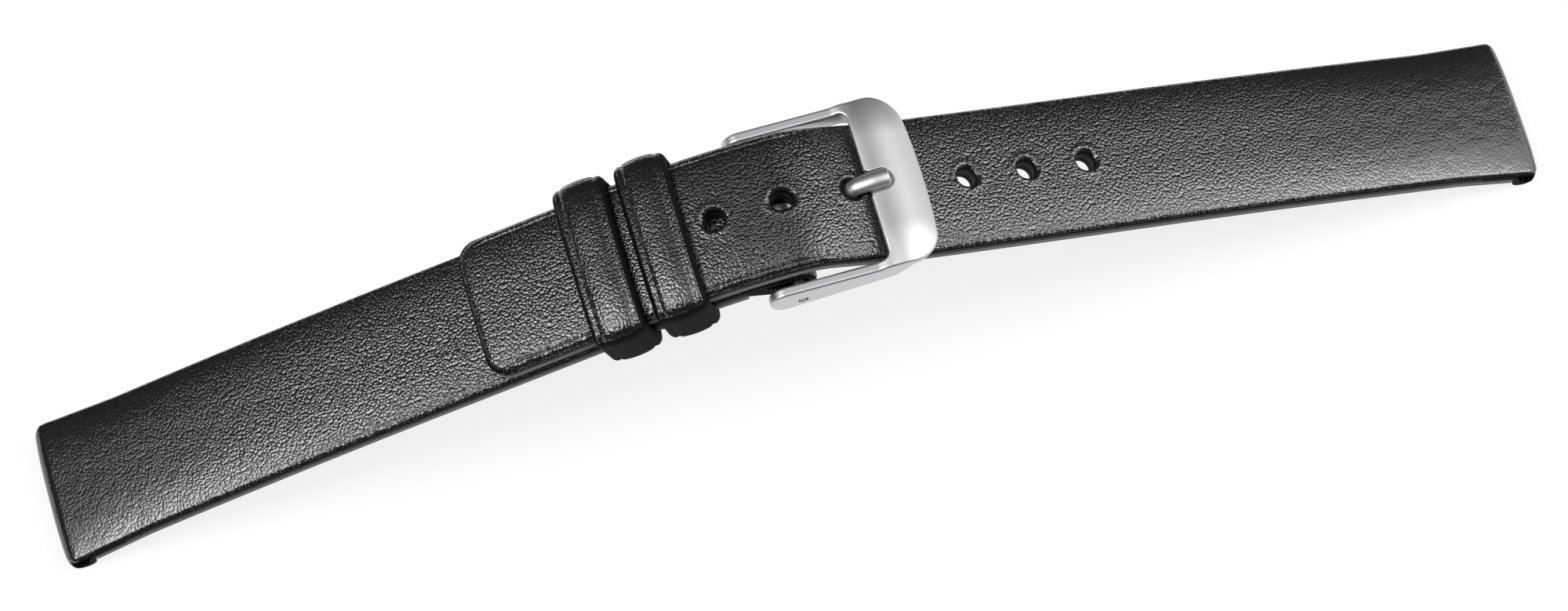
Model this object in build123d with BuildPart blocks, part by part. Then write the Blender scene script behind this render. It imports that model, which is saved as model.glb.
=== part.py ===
from build123d import *
import os
from math import asin, atan2, cos, degrees, hypot, radians, sin, sqrt

os.makedirs("parts", exist_ok=True)

# A two-piece leather watch strap, buckled, standing like a shallow tent on its two lug ends.
# X runs along the strap, Y across it, Z up. The origin is on the ground, midway between the lug ends.

# Strap layers
strap_width = 14.0
upper_leather = 0.8
filler = 0.6
lining = 0.8
strap_thickness = upper_leather + filler + lining
tab_gap = 0.1

# Lug ends, where each strap is turned round an eye for the watch's spring bar
eye_radius = 1.5
eye_bore_radius = 0.8
lug_flap = 5.0
lining_gap = 0.05
lug_swell = 0.3
lug_swell_run = 7.0
lug_corner_radius = 0.8
lug_corner_spare = 0.05

# Side curve of the short strap's top face, from its lug end to the buckle fold
lug_rise_angle = 22.5
short_bow_length = 38.5
short_bow_turn = -4.81
short_straight_length = 22.7
crown_length = 14.3
crown_turn = -15.66

# Side curve of the long strap, from the tab's tip to its lug end
tip_from_bar = 30.3
dive_length = 3.95
dive_turn = -26.37
hole_straight_length = 4.41
level_length = 5.4
level_turn = 6.15
upper_bow_length = 20.0
upper_bow_turn = 0.93
lower_bow_length = 44.5
lower_bow_turn = -3.25

# Tab tip and adjustment holes
tip_corner_radius = 2.1
hole_count = 7
first_hole = 24.39
hole_spacing = 6.26
hole_radius = 1.0
hole_rim_radius = 1.25
hole_rim_angle = 90

# Fold of the short strap round the buckle's spring bar
fold_radius = 1.9
fold_flap = 5.0
fold_void = 4.0
tongue_slot_width = 2.3
tongue_slot_depth = 3.5

# Keepers
keeper_skin = 0.45
keeper_core = 0.35
keeper_wall = 2 * keeper_skin + keeper_core
keeper_side_gap = 0.2
keeper_gap = 0.15
glue_gap = 0.06
keeper_outer_corner = 1.6
keeper_inner_corner = 0.3
keeper_core_margin = 0.5
keeper_seam = 0.2
keeper_butt = 0.1
free_keeper_from_bar = 17.0
free_keeper_width = 5.0
fixed_keeper_from_bar = 10.93
fixed_keeper_width = 4.9

# Wire staples
staple_wire = 0.4
staple_bend = 0.3
free_staple_width = 4.0
fixed_staple_inset = 0.4
fixed_staple_reach = 1.8
fixed_staple_bite = 0.9

# Buckle frame, drawn along its arms from the spring bar's axis
buckle_tilt = 10.0
arm_thickness = 1.05
frame_side_gap = 0.65
frame_width = strap_width + 2 * (frame_side_gap + arm_thickness)
arm_tail_radius = 1.65
arm_tail_back = 1.45
arm_tail_rise = 0.5
arm_low_front = -1.75
arm_neck_at = 8.0
arm_neck_height = 0.62
bar_inner_at = 8.9
bar_inner_height = 0.95
bar_middle_at = 11.6
bar_middle_height = 0.6
bar_front_at = 14.2
bar_front_height = -1.75
bar_thickness = 1.2
bar_bow = 0.5
frame_corner_radius = 2.8
window_corner_radius = 0.8
notch_width = 2.1
notch_depth = 0.6
notch_end = 11.9
pivot_radius = 0.5

# Tongue
tongue_width = 1.7
tongue_thickness = 1.25
tongue_edge_radius = 0.55
used_hole = 2
tongue_ring_radius = 1.45
tongue_ring_clearance = 0.05
tongue_notch_clearance = 0.05
tongue_under_strap = 0.9
tongue_low_bend = 1.2
tongue_knee_bend = 1.3
tongue_tip_at = 11.4

# Spring bar
bar_tube_radius = 0.75
bar_tube_bore_radius = 0.6
bar_tube_end_gap = 0.3
bar_tube_end_wall = 0.4
plunger_radius = 0.42
plunger_clearance = 0.04
plunger_head_radius = 0.55
plunger_head_length = 1.2
plunger_reach = 0.95
plunger_tip_chamfer = 0.1
coil_clearance = 0.04
coil_wall = 0.15

overrun = 4.0

# Guide lines

def step_on(spot, length, turn):
    """The spot (x, z, heading) that a run of one length and one turn leads to."""
    x, z, heading = spot
    if turn == 0:
        return x + length * cos(radians(heading)), z + length * sin(radians(heading)), heading
    radius = length / radians(turn)
    end = heading + turn
    x += radius * (sin(radians(end)) - sin(radians(heading)))
    z += radius * (cos(radians(heading)) - cos(radians(end)))
    return x, z, end


def along(guide, distance, offset=0):
    """The spot at a distance along a guide line, moved off to its upper side."""
    spot, bends = guide
    for length, turn in bends:
        part = min(distance, length)
        spot = step_on(spot, part, turn * part / length)
        distance -= part
        if distance <= 0:
            break
    x, z, heading = spot
    return x - offset * sin(radians(heading)), z + offset * cos(radians(heading)), heading


def point(guide, distance, offset=0):
    """The same spot as a point of a side view."""
    return along(guide, distance, offset)[:2]


def trace(guide, first, last, offset):
    """Draws a guide line between two distances, moved off to its upper side."""
    begin = 0
    for length, turn in guide[1]:
        near, far = max(begin, first), min(begin + length, last)
        if far > near:
            ends = point(guide, near, offset), point(guide, far, offset)
            if turn:
                ThreePointArc(ends[0], point(guide, (near + far) / 2, offset), ends[1])
            else:
                Line(*ends)
        begin += length


def band(guide, first, last, low, high):
    """Side view of one layer, between two distances and two offsets."""
    with BuildSketch(Plane.XZ) as view:
        with BuildLine():
            trace(guide, first, last, low)
            trace(guide, first, last, high)
            Line(point(guide, first, low), point(guide, first, high))
            Line(point(guide, last, low), point(guide, last, high))
        make_face()
    return view.sketch


short_bends = [
    (short_bow_length, short_bow_turn),
    (short_straight_length, 0),
    (crown_length, crown_turn),
]
long_bends = [
    (tip_from_bar - crown_length, 0),
    (crown_length, crown_turn),
    (dive_length, dive_turn),
    (hole_straight_length, 0),
    (level_length, level_turn),
    (upper_bow_length, upper_bow_turn),
    (lower_bow_length, lower_bow_turn),
]
short_length = sum(length for length, turn in short_bends)
long_length = sum(length for length, turn in long_bends)
free_keeper_at = short_length - free_keeper_from_bar
fixed_keeper_at = short_length - fixed_keeper_from_bar
long_top = tab_gap + strap_thickness
under_upper = upper_leather
under_filler = upper_leather + filler


def guides(x, z, heading):
    """The two straps' guide lines, for one start of the short strap's top face."""
    short = ((x, z, heading), short_bends)
    return short, (along(short, short_length - tip_from_bar), long_bends)


# The whole curve is turned until both eyes rest on the ground, and centred between them
trial_short, trial_long = guides(0, 0, lug_rise_angle)
left_trial = point(trial_short, 0, -eye_radius)
right_trial = point(trial_long, long_length, long_top - eye_radius)
eye_distance = hypot(right_trial[0] - left_trial[0], right_trial[1] - left_trial[1])
lean = degrees(atan2(right_trial[1] - left_trial[1], right_trial[0] - left_trial[0]))
start_heading = lug_rise_angle - lean
start_x = -eye_distance / 2 - eye_radius * sin(radians(start_heading))
start_z = eye_radius + eye_radius * cos(radians(start_heading))
short_guide, long_guide = guides(start_x, start_z, start_heading)
left_eye = point(short_guide, 0, -eye_radius)
right_eye = point(long_guide, long_length, long_top - eye_radius)
pivot = point(short_guide, short_length, -fold_radius)
fold_heading = along(short_guide, short_length)[2]
crown_height = pivot[1] + fold_radius + long_top + overrun


def square_to(guide, distance, offset=0):
    """Plane lying on a guide line's upper side, its X along the strap."""
    x, z, heading = along(guide, distance, offset)
    lie = radians(heading)
    return Plane(origin=(x, 0, z), x_dir=(cos(lie), 0, sin(lie)), z_dir=(-sin(lie), 0, cos(lie)))


def across(guide, distance):
    """Plane cutting straight through the strap, its X across and its Y up."""
    x, z, heading = along(guide, distance)
    lie = radians(heading)
    return Plane(origin=(x, 0, z), x_dir=(0, 1, 0), z_dir=(cos(lie), 0, sin(lie)))


# Strap outline seen from above

def plan(eye, outward, far_x):
    """Outline of one strap from above, a little wider and rounded at its lug end."""
    half = strap_width / 2
    end_x = eye[0] + outward * (eye_radius + lug_corner_spare)
    neck_x = eye[0] - outward * lug_swell_run
    side = [(far_x, half), (neck_x, half), (eye[0], half + lug_swell), (end_x, half + lug_swell)]
    with BuildSketch(Plane.XY) as outline:
        with BuildLine():
            Polyline(*side, *[(x, -y) for x, y in reversed(side)], close=True)
        make_face()
        end = outline.vertices().group_by(Axis.X)[0 if outward < 0 else -1]
        fillet(end, radius=lug_corner_radius)
    return outline.sketch


short_plan = plan(left_eye, -1, pivot[0] + fold_radius + overrun)
long_plan = plan(right_eye, 1, point(long_guide, 0)[0] - overrun)
half_cut = strap_width / 2 + lug_swell + overrun
eye_reach = sqrt(eye_radius**2 - (eye_radius - under_filler) ** 2)


def eye_turn(guide, distance, top, outward):
    """Draws the outside of a lug end's turned leather."""
    centre = along(guide, distance, top - eye_radius)
    lie = radians(centre[2])
    ThreePointArc(
        point(guide, distance, top),
        (centre[0] + outward * eye_radius * cos(lie), centre[1] + outward * eye_radius * sin(lie)),
        point(guide, distance - outward * eye_reach, top - under_filler),
    )


def under_tangent(start, radius):
    """Where a line from behind the spring bar touches a circle round it from below."""
    away = hypot(pivot[0] - start[0], pivot[1] - start[1])
    slope = atan2(pivot[1] - start[1], pivot[0] - start[0]) - asin(radius / away)
    reach = sqrt(away**2 - radius**2)
    return start[0] + reach * cos(slope), start[1] + reach * sin(slope)


def fold_turn(start, radius):
    """Draws one face of the fold: round the spring bar from above, then back to a point."""
    touch = under_tangent(start, radius)
    above = radians(90 + fold_heading)
    middle = (above + atan2(touch[1] - pivot[1], touch[0] - pivot[0])) / 2
    ThreePointArc(
        (pivot[0] + radius * cos(above), pivot[1] + radius * sin(above)),
        (pivot[0] + radius * cos(middle), pivot[1] + radius * sin(middle)),
        touch,
    )
    Line(touch, start)


def hole_planes(depth):
    """Planes of the adjustment holes, a depth under the long strap's top face."""
    places = [first_hole + hole_spacing * index for index in range(hole_count)]
    return [square_to(long_guide, place, long_top - depth) for place in places]


# Long strap, upper leather turned round the eye and holding the dished holes
long_flap_at = long_length - lug_flap
with BuildPart() as long_upper:
    with BuildSketch(Plane.XZ):
        with BuildLine():
            trace(long_guide, 0, long_length, long_top)
            eye_turn(long_guide, long_length, long_top, 1)
            trace(long_guide, long_flap_at, long_length - eye_reach, long_top - under_filler)
            Line(
                point(long_guide, long_flap_at, long_top - under_filler),
                point(long_guide, long_flap_at, long_top - under_upper),
            )
            trace(long_guide, 0, long_flap_at, long_top - under_upper)
            Line(point(long_guide, 0, long_top - under_upper), point(long_guide, 0, long_top))
        make_face()
        with Locations(right_eye):
            Circle(eye_bore_radius, mode=Mode.SUBTRACT)
    extrude(amount=half_cut, both=True)
    with BuildSketch(Plane.XY):
        add(long_plan)
    extrude(amount=crown_height, mode=Mode.INTERSECT)
    upright = Axis(origin=(0, 0, 0), direction=square_to(long_guide, 0).z_dir)
    fillet(long_upper.edges().filter_by(upright).sort_by(Axis.X)[:2], radius=tip_corner_radius)
    with Locations(*hole_planes(0)):
        CounterSinkHole(hole_radius, hole_rim_radius, strap_thickness, hole_rim_angle)
long_upper.part.label = "long_upper"
export_step(long_upper.part, "parts/long_upper.step")

# Long strap, filler between the leathers
with BuildPart() as long_filler:
    extrude(
        band(long_guide, 0, long_flap_at, long_top - under_filler, long_top - under_upper),
        amount=half_cut,
        both=True,
    )
    with BuildSketch(Plane.XY):
        add(long_plan)
    extrude(amount=crown_height, mode=Mode.INTERSECT)
    fillet(long_filler.edges().filter_by(upright).sort_by(Axis.X)[:2], radius=tip_corner_radius)
    with Locations(*hole_planes(under_upper)):
        Hole(hole_radius, strap_thickness)
long_filler.part.label = "long_filler"
export_step(long_filler.part, "parts/long_filler.step")

# Long strap, lining leather that ends against the turned eye
with BuildPart() as long_lining:
    with BuildSketch(Plane.XZ):
        add(band(long_guide, 0, long_length, tab_gap, long_top - under_filler))
        with Locations(right_eye):
            Circle(eye_radius + lining_gap, mode=Mode.SUBTRACT)
    extrude(amount=half_cut, both=True)
    with BuildSketch(Plane.XY):
        add(long_plan)
    extrude(amount=crown_height, mode=Mode.INTERSECT)
    fillet(long_lining.edges().filter_by(upright).sort_by(Axis.X)[:2], radius=tip_corner_radius)
    with Locations(*hole_planes(under_filler)):
        Hole(hole_radius, strap_thickness)
long_lining.part.label = "long_lining"
export_step(long_lining.part, "parts/long_lining.step")

# Short strap, upper leather turned round the eye at one end and the buckle's bar at the other
fold_flap_at = short_length - fold_flap
fold_void_at = short_length - fold_void
slot_radius = tongue_slot_width / 2
with BuildPart() as short_upper:
    with BuildSketch(Plane.XZ):
        with BuildLine():
            trace(short_guide, 0, short_length, 0)
            fold_turn(point(short_guide, fold_flap_at, -under_filler), fold_radius)
            Line(
                point(short_guide, fold_flap_at, -under_filler),
                point(short_guide, fold_flap_at, -under_upper),
            )
            trace(short_guide, lug_flap, fold_flap_at, -under_upper)
            Line(point(short_guide, lug_flap, -under_upper), point(short_guide, lug_flap, -under_filler))
            trace(short_guide, eye_reach, lug_flap, -under_filler)
            eye_turn(short_guide, 0, 0, -1)
        make_face()
        with BuildLine():
            trace(short_guide, fold_void_at, short_length, -under_upper)
            fold_turn(point(short_guide, fold_void_at, -under_upper), fold_radius - upper_leather)
        make_face(mode=Mode.SUBTRACT)
        with Locations(left_eye):
            Circle(eye_bore_radius, mode=Mode.SUBTRACT)
    extrude(amount=half_cut, both=True)
    with BuildSketch(Plane.XY):
        add(short_plan)
    extrude(amount=crown_height, mode=Mode.INTERSECT)
    with BuildSketch(Plane.XY):
        slot_back = pivot[0] - tongue_slot_depth
        with Locations((slot_back + slot_radius, 0)):
            Circle(slot_radius)
            Rectangle(
                tongue_slot_depth + fold_radius + overrun,
                tongue_slot_width,
                align=(Align.MIN, Align.CENTER),
            )
    extrude(amount=crown_height, mode=Mode.SUBTRACT)
short_upper.part.label = "short_upper"
export_step(short_upper.part, "parts/short_upper.step")

# Staples: the fixed keeper's wire ties it to the strap, the free keeper's closes its ends
lining_face = strap_thickness + staple_wire / 2
fixed_edge = fixed_keeper_at + fixed_keeper_width / 2
wire_y = -strap_width / 2 + fixed_staple_inset
with BuildPart() as fixed_keeper_staple:
    with BuildLine() as wire:
        wire_spots = [
            point(short_guide, fixed_edge - fixed_staple_bite, -lining_face),
            point(short_guide, fixed_edge + fixed_staple_reach, -lining_face),
            point(short_guide, fixed_edge + fixed_staple_reach, fixed_staple_bite - lining_face),
        ]
        FilletPolyline(*[(x, wire_y, z) for x, z in wire_spots], radius=staple_bend)
    with BuildSketch(Plane(origin=wire.line @ 0, z_dir=wire.line % 0)):
        Circle(staple_wire / 2)
    sweep(path=wire.line)
fixed_keeper_staple.part.label = "fixed_keeper_staple"
export_step(fixed_keeper_staple.part, "parts/fixed_keeper_staple.step")

with BuildPart() as short_filler:
    extrude(
        band(short_guide, lug_flap, fold_flap_at, -under_filler, -under_upper),
        amount=half_cut,
        both=True,
    )
    with BuildSketch(Plane.XY):
        add(short_plan)
    extrude(amount=crown_height, mode=Mode.INTERSECT)
    add(fixed_keeper_staple.part, mode=Mode.SUBTRACT)
short_filler.part.label = "short_filler"
export_step(short_filler.part, "parts/short_filler.step")

with BuildPart() as short_lining:
    with BuildSketch(Plane.XZ):
        add(band(short_guide, 0, fold_flap_at, -strap_thickness, -under_filler))
        with Locations(left_eye):
            Circle(eye_radius + lining_gap, mode=Mode.SUBTRACT)
    extrude(amount=half_cut, both=True)
    with BuildSketch(Plane.XY):
        add(short_plan)
    extrude(amount=crown_height, mode=Mode.INTERSECT)
    add(fixed_keeper_staple.part, mode=Mode.SUBTRACT)
short_lining.part.label = "short_lining"
export_step(short_lining.part, "parts/short_lining.step")


# Keepers, each a leather strip folded over a core and bent into a loop round both straps

def loop(section, low, wall_from, wall_to):
    """Cross-section of a keeper's wall between two depths, counted out from its inside."""
    inner_width = strap_width + 2 * keeper_side_gap
    inner_height = long_top + keeper_gap - low
    slope = (keeper_outer_corner - keeper_inner_corner) / keeper_wall
    with BuildSketch(section) as view:
        with Locations((0, low + inner_height / 2)):
            for depth, mode in ((wall_to, Mode.ADD), (wall_from, Mode.SUBTRACT)):
                corner = keeper_inner_corner + slope * depth
                RectangleRounded(inner_width + 2 * depth, inner_height + 2 * depth, corner, mode=mode)
    return view.sketch


def butt_cut(section, low):
    """Cross-section of the slit where the strip's two ends meet under the strap."""
    with BuildSketch(section) as view:
        with Locations((0, low)):
            Rectangle(keeper_butt, 2 * keeper_wall + keeper_butt)
    return view.sketch


free_section = across(short_guide, free_keeper_at)
free_low = -strap_thickness - keeper_gap
fixed_section = across(short_guide, fixed_keeper_at)
fixed_low = -strap_thickness - glue_gap

with BuildPart() as free_keeper_staple:
    with BuildLine(free_section) as wire:
        half = free_staple_width / 2
        crown = free_low - keeper_wall - staple_wire / 2
        legs = [(-half, free_low), (-half, crown), (half, crown), (half, free_low)]
        FilletPolyline(*legs, radius=staple_bend)
    with BuildSketch(Plane(origin=wire.line @ 0, z_dir=wire.line % 0)):
        Circle(staple_wire / 2)
    sweep(path=wire.line)
free_keeper_staple.part.label = "free_keeper_staple"
export_step(free_keeper_staple.part, "parts/free_keeper_staple.step")

with BuildPart() as free_keeper:
    extrude(loop(free_section, free_low, 0, keeper_wall), amount=free_keeper_width / 2, both=True)
    extrude(
        loop(free_section, free_low, keeper_skin, keeper_skin + keeper_core),
        amount=free_keeper_width / 2 - keeper_core_margin,
        both=True,
        mode=Mode.SUBTRACT,
    )
    seam = loop(free_section, free_low, 0, keeper_skin)
    extrude(seam, amount=keeper_seam / 2, both=True, mode=Mode.SUBTRACT)
    extrude(butt_cut(free_section, free_low), amount=free_keeper_width, both=True, mode=Mode.SUBTRACT)
    add(free_keeper_staple.part, mode=Mode.SUBTRACT)
free_keeper.part.label = "free_keeper"
export_step(free_keeper.part, "parts/free_keeper.step")

with BuildPart() as free_keeper_core:
    extrude(
        loop(free_section, free_low, keeper_skin, keeper_skin + keeper_core),
        amount=free_keeper_width / 2 - keeper_core_margin,
        both=True,
    )
    extrude(butt_cut(free_section, free_low), amount=free_keeper_width, both=True, mode=Mode.SUBTRACT)
    add(free_keeper_staple.part, mode=Mode.SUBTRACT)
free_keeper_core.part.label = "free_keeper_core"
export_step(free_keeper_core.part, "parts/free_keeper_core.step")

with BuildPart() as fixed_keeper:
    extrude(loop(fixed_section, fixed_low, 0, keeper_wall), amount=fixed_keeper_width / 2, both=True)
    extrude(
        loop(fixed_section, fixed_low, keeper_skin, keeper_skin + keeper_core),
        amount=fixed_keeper_width / 2 - keeper_core_margin,
        both=True,
        mode=Mode.SUBTRACT,
    )
    seam = loop(fixed_section, fixed_low, 0, keeper_skin)
    extrude(seam, amount=keeper_seam / 2, both=True, mode=Mode.SUBTRACT)
    extrude(butt_cut(fixed_section, fixed_low), amount=fixed_keeper_width, both=True, mode=Mode.SUBTRACT)
    add(fixed_keeper_staple.part, mode=Mode.SUBTRACT)
fixed_keeper.part.label = "fixed_keeper"
export_step(fixed_keeper.part, "parts/fixed_keeper.step")

with BuildPart() as fixed_keeper_core:
    extrude(
        loop(fixed_section, fixed_low, keeper_skin, keeper_skin + keeper_core),
        amount=fixed_keeper_width / 2 - keeper_core_margin,
        both=True,
    )
    extrude(butt_cut(fixed_section, fixed_low), amount=fixed_keeper_width, both=True, mode=Mode.SUBTRACT)
    add(fixed_keeper_staple.part, mode=Mode.SUBTRACT)
fixed_keeper_core.part.label = "fixed_keeper_core"
export_step(fixed_keeper_core.part, "parts/fixed_keeper_core.step")

# Buckle frame, two arms and a wide curved bar, in the plane of its arms
tilt = radians(buckle_tilt)
bar_spot = (pivot[0], 0, pivot[1])
arms_run = (cos(tilt), 0, sin(tilt))
frame_side = Plane(origin=bar_spot, x_dir=arms_run, z_dir=(0, -1, 0))
frame_plan = Plane(origin=bar_spot, x_dir=arms_run, z_dir=(-sin(tilt), 0, cos(tilt)))
tail_top = arm_tail_rise + arm_tail_radius
tail_low = arm_tail_rise - arm_tail_radius
bar_inner = (bar_inner_at, bar_inner_height)
bar_middle = (bar_middle_at, bar_middle_height)
bar_front = (bar_front_at, bar_front_height)


def arc_centre(first, second, third):
    """Centre of the circle through three points of a side view."""
    (ax, ay), (bx, by), (cx, cy) = first, second, third
    area = 2 * (ax * (by - cy) + bx * (cy - ay) + cx * (ay - by))
    a, b, c = ax**2 + ay**2, bx**2 + by**2, cx**2 + cy**2
    x = (a * (by - cy) + b * (cy - ay) + c * (ay - by)) / area
    y = (a * (cx - bx) + b * (ax - cx) + c * (bx - ax)) / area
    return x, y


bar_centre = arc_centre(bar_inner, bar_middle, bar_front)
bar_radius = hypot(bar_inner[0] - bar_centre[0], bar_inner[1] - bar_centre[1])


def sunk(spot, depth):
    """A point of the bar's top face, moved a depth into the bar."""
    share = 1 - depth / bar_radius
    return (
        bar_centre[0] + (spot[0] - bar_centre[0]) * share,
        bar_centre[1] + (spot[1] - bar_centre[1]) * share,
    )


def bar_plate(depth):
    """Side view of the bar's plate, from its top face down to a depth."""
    with BuildSketch(frame_side) as view:
        with BuildLine():
            ThreePointArc(bar_inner, bar_middle, bar_front)
            ThreePointArc(sunk(bar_inner, depth), sunk(bar_middle, depth), sunk(bar_front, depth))
            Line(bar_inner, sunk(bar_inner, depth))
            Line(bar_front, sunk(bar_front, depth))
        make_face()
    return view.sketch


with BuildPart() as notch:
    extrude(bar_plate(notch_depth), amount=frame_width / 2, both=True)
    with BuildSketch(frame_plan):
        with Locations((notch_end - notch_width / 2, 0)):
            Circle(notch_width / 2)
            Rectangle(notch_end, notch_width, align=(Align.MAX, Align.CENTER))
    extrude(amount=frame_width, both=True, mode=Mode.INTERSECT)

with BuildPart() as buckle_frame:
    with BuildSketch(frame_side):
        with BuildLine():
            Line((-arm_tail_back, tail_top), (arm_neck_at, arm_neck_height))
            Line((arm_neck_at, arm_neck_height), bar_inner)
            Line(bar_inner, sunk(bar_middle, bar_thickness / 2))
            Line(sunk(bar_middle, bar_thickness / 2), (bar_inner_at, arm_low_front))
            Line((bar_inner_at, arm_low_front), (-arm_tail_back, tail_low))
            ThreePointArc(
                (-arm_tail_back, tail_low),
                (-arm_tail_back - arm_tail_radius, arm_tail_rise),
                (-arm_tail_back, tail_top),
            )
        make_face()
    extrude(amount=frame_width / 2, both=True)
    with BuildSketch(frame_plan):
        Rectangle(4 * bar_front_at, frame_width - 2 * arm_thickness)
    extrude(amount=frame_width, both=True, mode=Mode.SUBTRACT)
    extrude(bar_plate(bar_thickness), amount=frame_width / 2, both=True)
    window_side = frame_width / 2 - arm_thickness
    window_end = sunk(bar_inner, bar_thickness / 2)
    for side in (-window_side, window_side):
        spot = frame_plan.from_local_coords(Vector(window_end[0], side, window_end[1]))
        fillet(buckle_frame.edges().sort_by_distance(spot)[0], radius=window_corner_radius)
    with BuildSketch(frame_plan) as frame_outline:
        with BuildLine():
            corner = bar_front_at - bar_bow
            half = frame_width / 2
            Polyline((corner, half), (-frame_width, half), (-frame_width, -half), (corner, -half))
            ThreePointArc((corner, -half), (bar_front_at, 0), (corner, half))
        make_face()
        fillet(frame_outline.vertices().group_by(Axis.X)[-1], radius=frame_corner_radius)
    extrude(amount=frame_width, both=True, mode=Mode.INTERSECT)
    add(notch.part, mode=Mode.SUBTRACT)
    with BuildSketch(frame_side):
        Circle(pivot_radius)
    extrude(amount=frame_width, both=True, mode=Mode.SUBTRACT)
buckle_frame.part.label = "buckle_frame"
export_step(buckle_frame.part, "parts/buckle_frame.step")

# Tongue, a bent pin with a ring round the spring bar, up through one hole and into the bar's notch

def in_frame(spot):
    """A point of the side view, seen from the spring bar along the buckle's arms."""
    x, z = spot[0] - pivot[0], spot[1] - pivot[1]
    return x * cos(tilt) + z * sin(tilt), z * cos(tilt) - x * sin(tilt)


used_place = first_hole + hole_spacing * used_hole
hole_top = in_frame(point(long_guide, used_place, long_top))
hole_low = in_frame(point(long_guide, used_place, tab_gap))
rise = ((hole_top[0] - hole_low[0]) / strap_thickness, (hole_top[1] - hole_low[1]) / strap_thickness)
elbow = (hole_low[0] - tongue_under_strap * rise[0], hole_low[1] - tongue_under_strap * rise[1])
lie_radius = bar_radius - notch_depth + tongue_notch_clearance + tongue_thickness / 2
lie_height = bar_centre[1] + lie_radius
climb = (lie_height - hole_top[1]) / rise[1]
knee = (hole_top[0] + climb * rise[0], lie_height)
ring_middle = (bar_tube_radius + tongue_ring_radius) / 2
shank_share = ring_middle / hypot(*elbow)


def on_lie(u):
    """A point of the tongue's middle line where it follows the bar's curve."""
    return u, bar_centre[1] + sqrt(lie_radius**2 - (u - bar_centre[0]) ** 2)


with BuildPart() as buckle_tongue:
    with BuildLine(frame_side) as pin:
        FilletPolyline(
            (elbow[0] * shank_share, elbow[1] * shank_share),
            elbow,
            knee,
            (bar_centre[0], lie_height),
            radius=[tongue_low_bend, tongue_knee_bend],
        )
        ThreePointArc(
            (bar_centre[0], lie_height),
            on_lie((bar_centre[0] + tongue_tip_at) / 2),
            on_lie(tongue_tip_at),
        )
    with BuildSketch(Plane(origin=pin.line @ 0, x_dir=(0, 1, 0), z_dir=pin.line % 0)):
        RectangleRounded(tongue_width, tongue_thickness, tongue_edge_radius)
    sweep(path=pin.line)
    with BuildSketch(frame_plan):
        with Locations((tongue_tip_at - tongue_width / 2, 0)):
            Circle(tongue_width / 2)
            Rectangle(2 * tongue_tip_at, tongue_width, align=(Align.MAX, Align.CENTER))
    extrude(amount=frame_width, both=True, mode=Mode.INTERSECT)
    with BuildSketch(frame_side):
        Circle(tongue_ring_radius)
    extrude(amount=tongue_width / 2, both=True)
    with BuildSketch(frame_side):
        Circle(bar_tube_radius + tongue_ring_clearance)
    extrude(amount=tongue_width, both=True, mode=Mode.SUBTRACT)
buckle_tongue.part.label = "buckle_tongue"
export_step(buckle_tongue.part, "parts/buckle_tongue.step")

# Spring bar, a thin tube with a sprung plunger at each end
bar_end = Plane(origin=bar_spot, z_dir=(0, -1, 0))
tube_half = frame_width / 2 - arm_thickness - bar_tube_end_gap
with BuildPart() as spring_bar_tube:
    with BuildSketch(bar_end):
        Circle(bar_tube_radius)
        Circle(plunger_radius + plunger_clearance, mode=Mode.SUBTRACT)
    extrude(amount=tube_half, both=True)
    with BuildSketch(bar_end):
        Circle(bar_tube_bore_radius)
    extrude(amount=tube_half - bar_tube_end_wall, both=True, mode=Mode.SUBTRACT)
spring_bar_tube.part.label = "spring_bar_tube"
export_step(spring_bar_tube.part, "parts/spring_bar_tube.step")

head_outer = tube_half - bar_tube_end_wall - plunger_clearance
head_inner = head_outer - plunger_head_length
tip_end = frame_width / 2 - arm_thickness + plunger_reach
for name, side in (("near", 1), ("far", -1)):
    with BuildPart() as plunger:
        with BuildSketch(bar_end.offset(side * head_inner)):
            Circle(plunger_head_radius)
        extrude(amount=side * plunger_head_length)
        with BuildSketch(bar_end.offset(side * head_inner)):
            Circle(plunger_radius)
        extrude(amount=side * (tip_end - head_inner))
        tip = plunger.edges().filter_by(GeomType.CIRCLE).sort_by(Axis.Y)[0 if side > 0 else -1]
        chamfer(tip, length=plunger_tip_chamfer)
    plunger.part.label = "spring_bar_plunger_" + name
    export_step(plunger.part, "parts/spring_bar_plunger_" + name + ".step")

with BuildPart() as spring_bar_spring:
    with BuildSketch(bar_end):
        Circle(bar_tube_bore_radius - coil_clearance)
        Circle(bar_tube_bore_radius - coil_clearance - coil_wall, mode=Mode.SUBTRACT)
    extrude(amount=head_inner - coil_clearance, both=True)
spring_bar_spring.part.label = "spring_bar_spring"
export_step(spring_bar_spring.part, "parts/spring_bar_spring.step")
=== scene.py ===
import bmesh
import bpy
import numpy as np
from mathutils import Matrix, Vector


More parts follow.
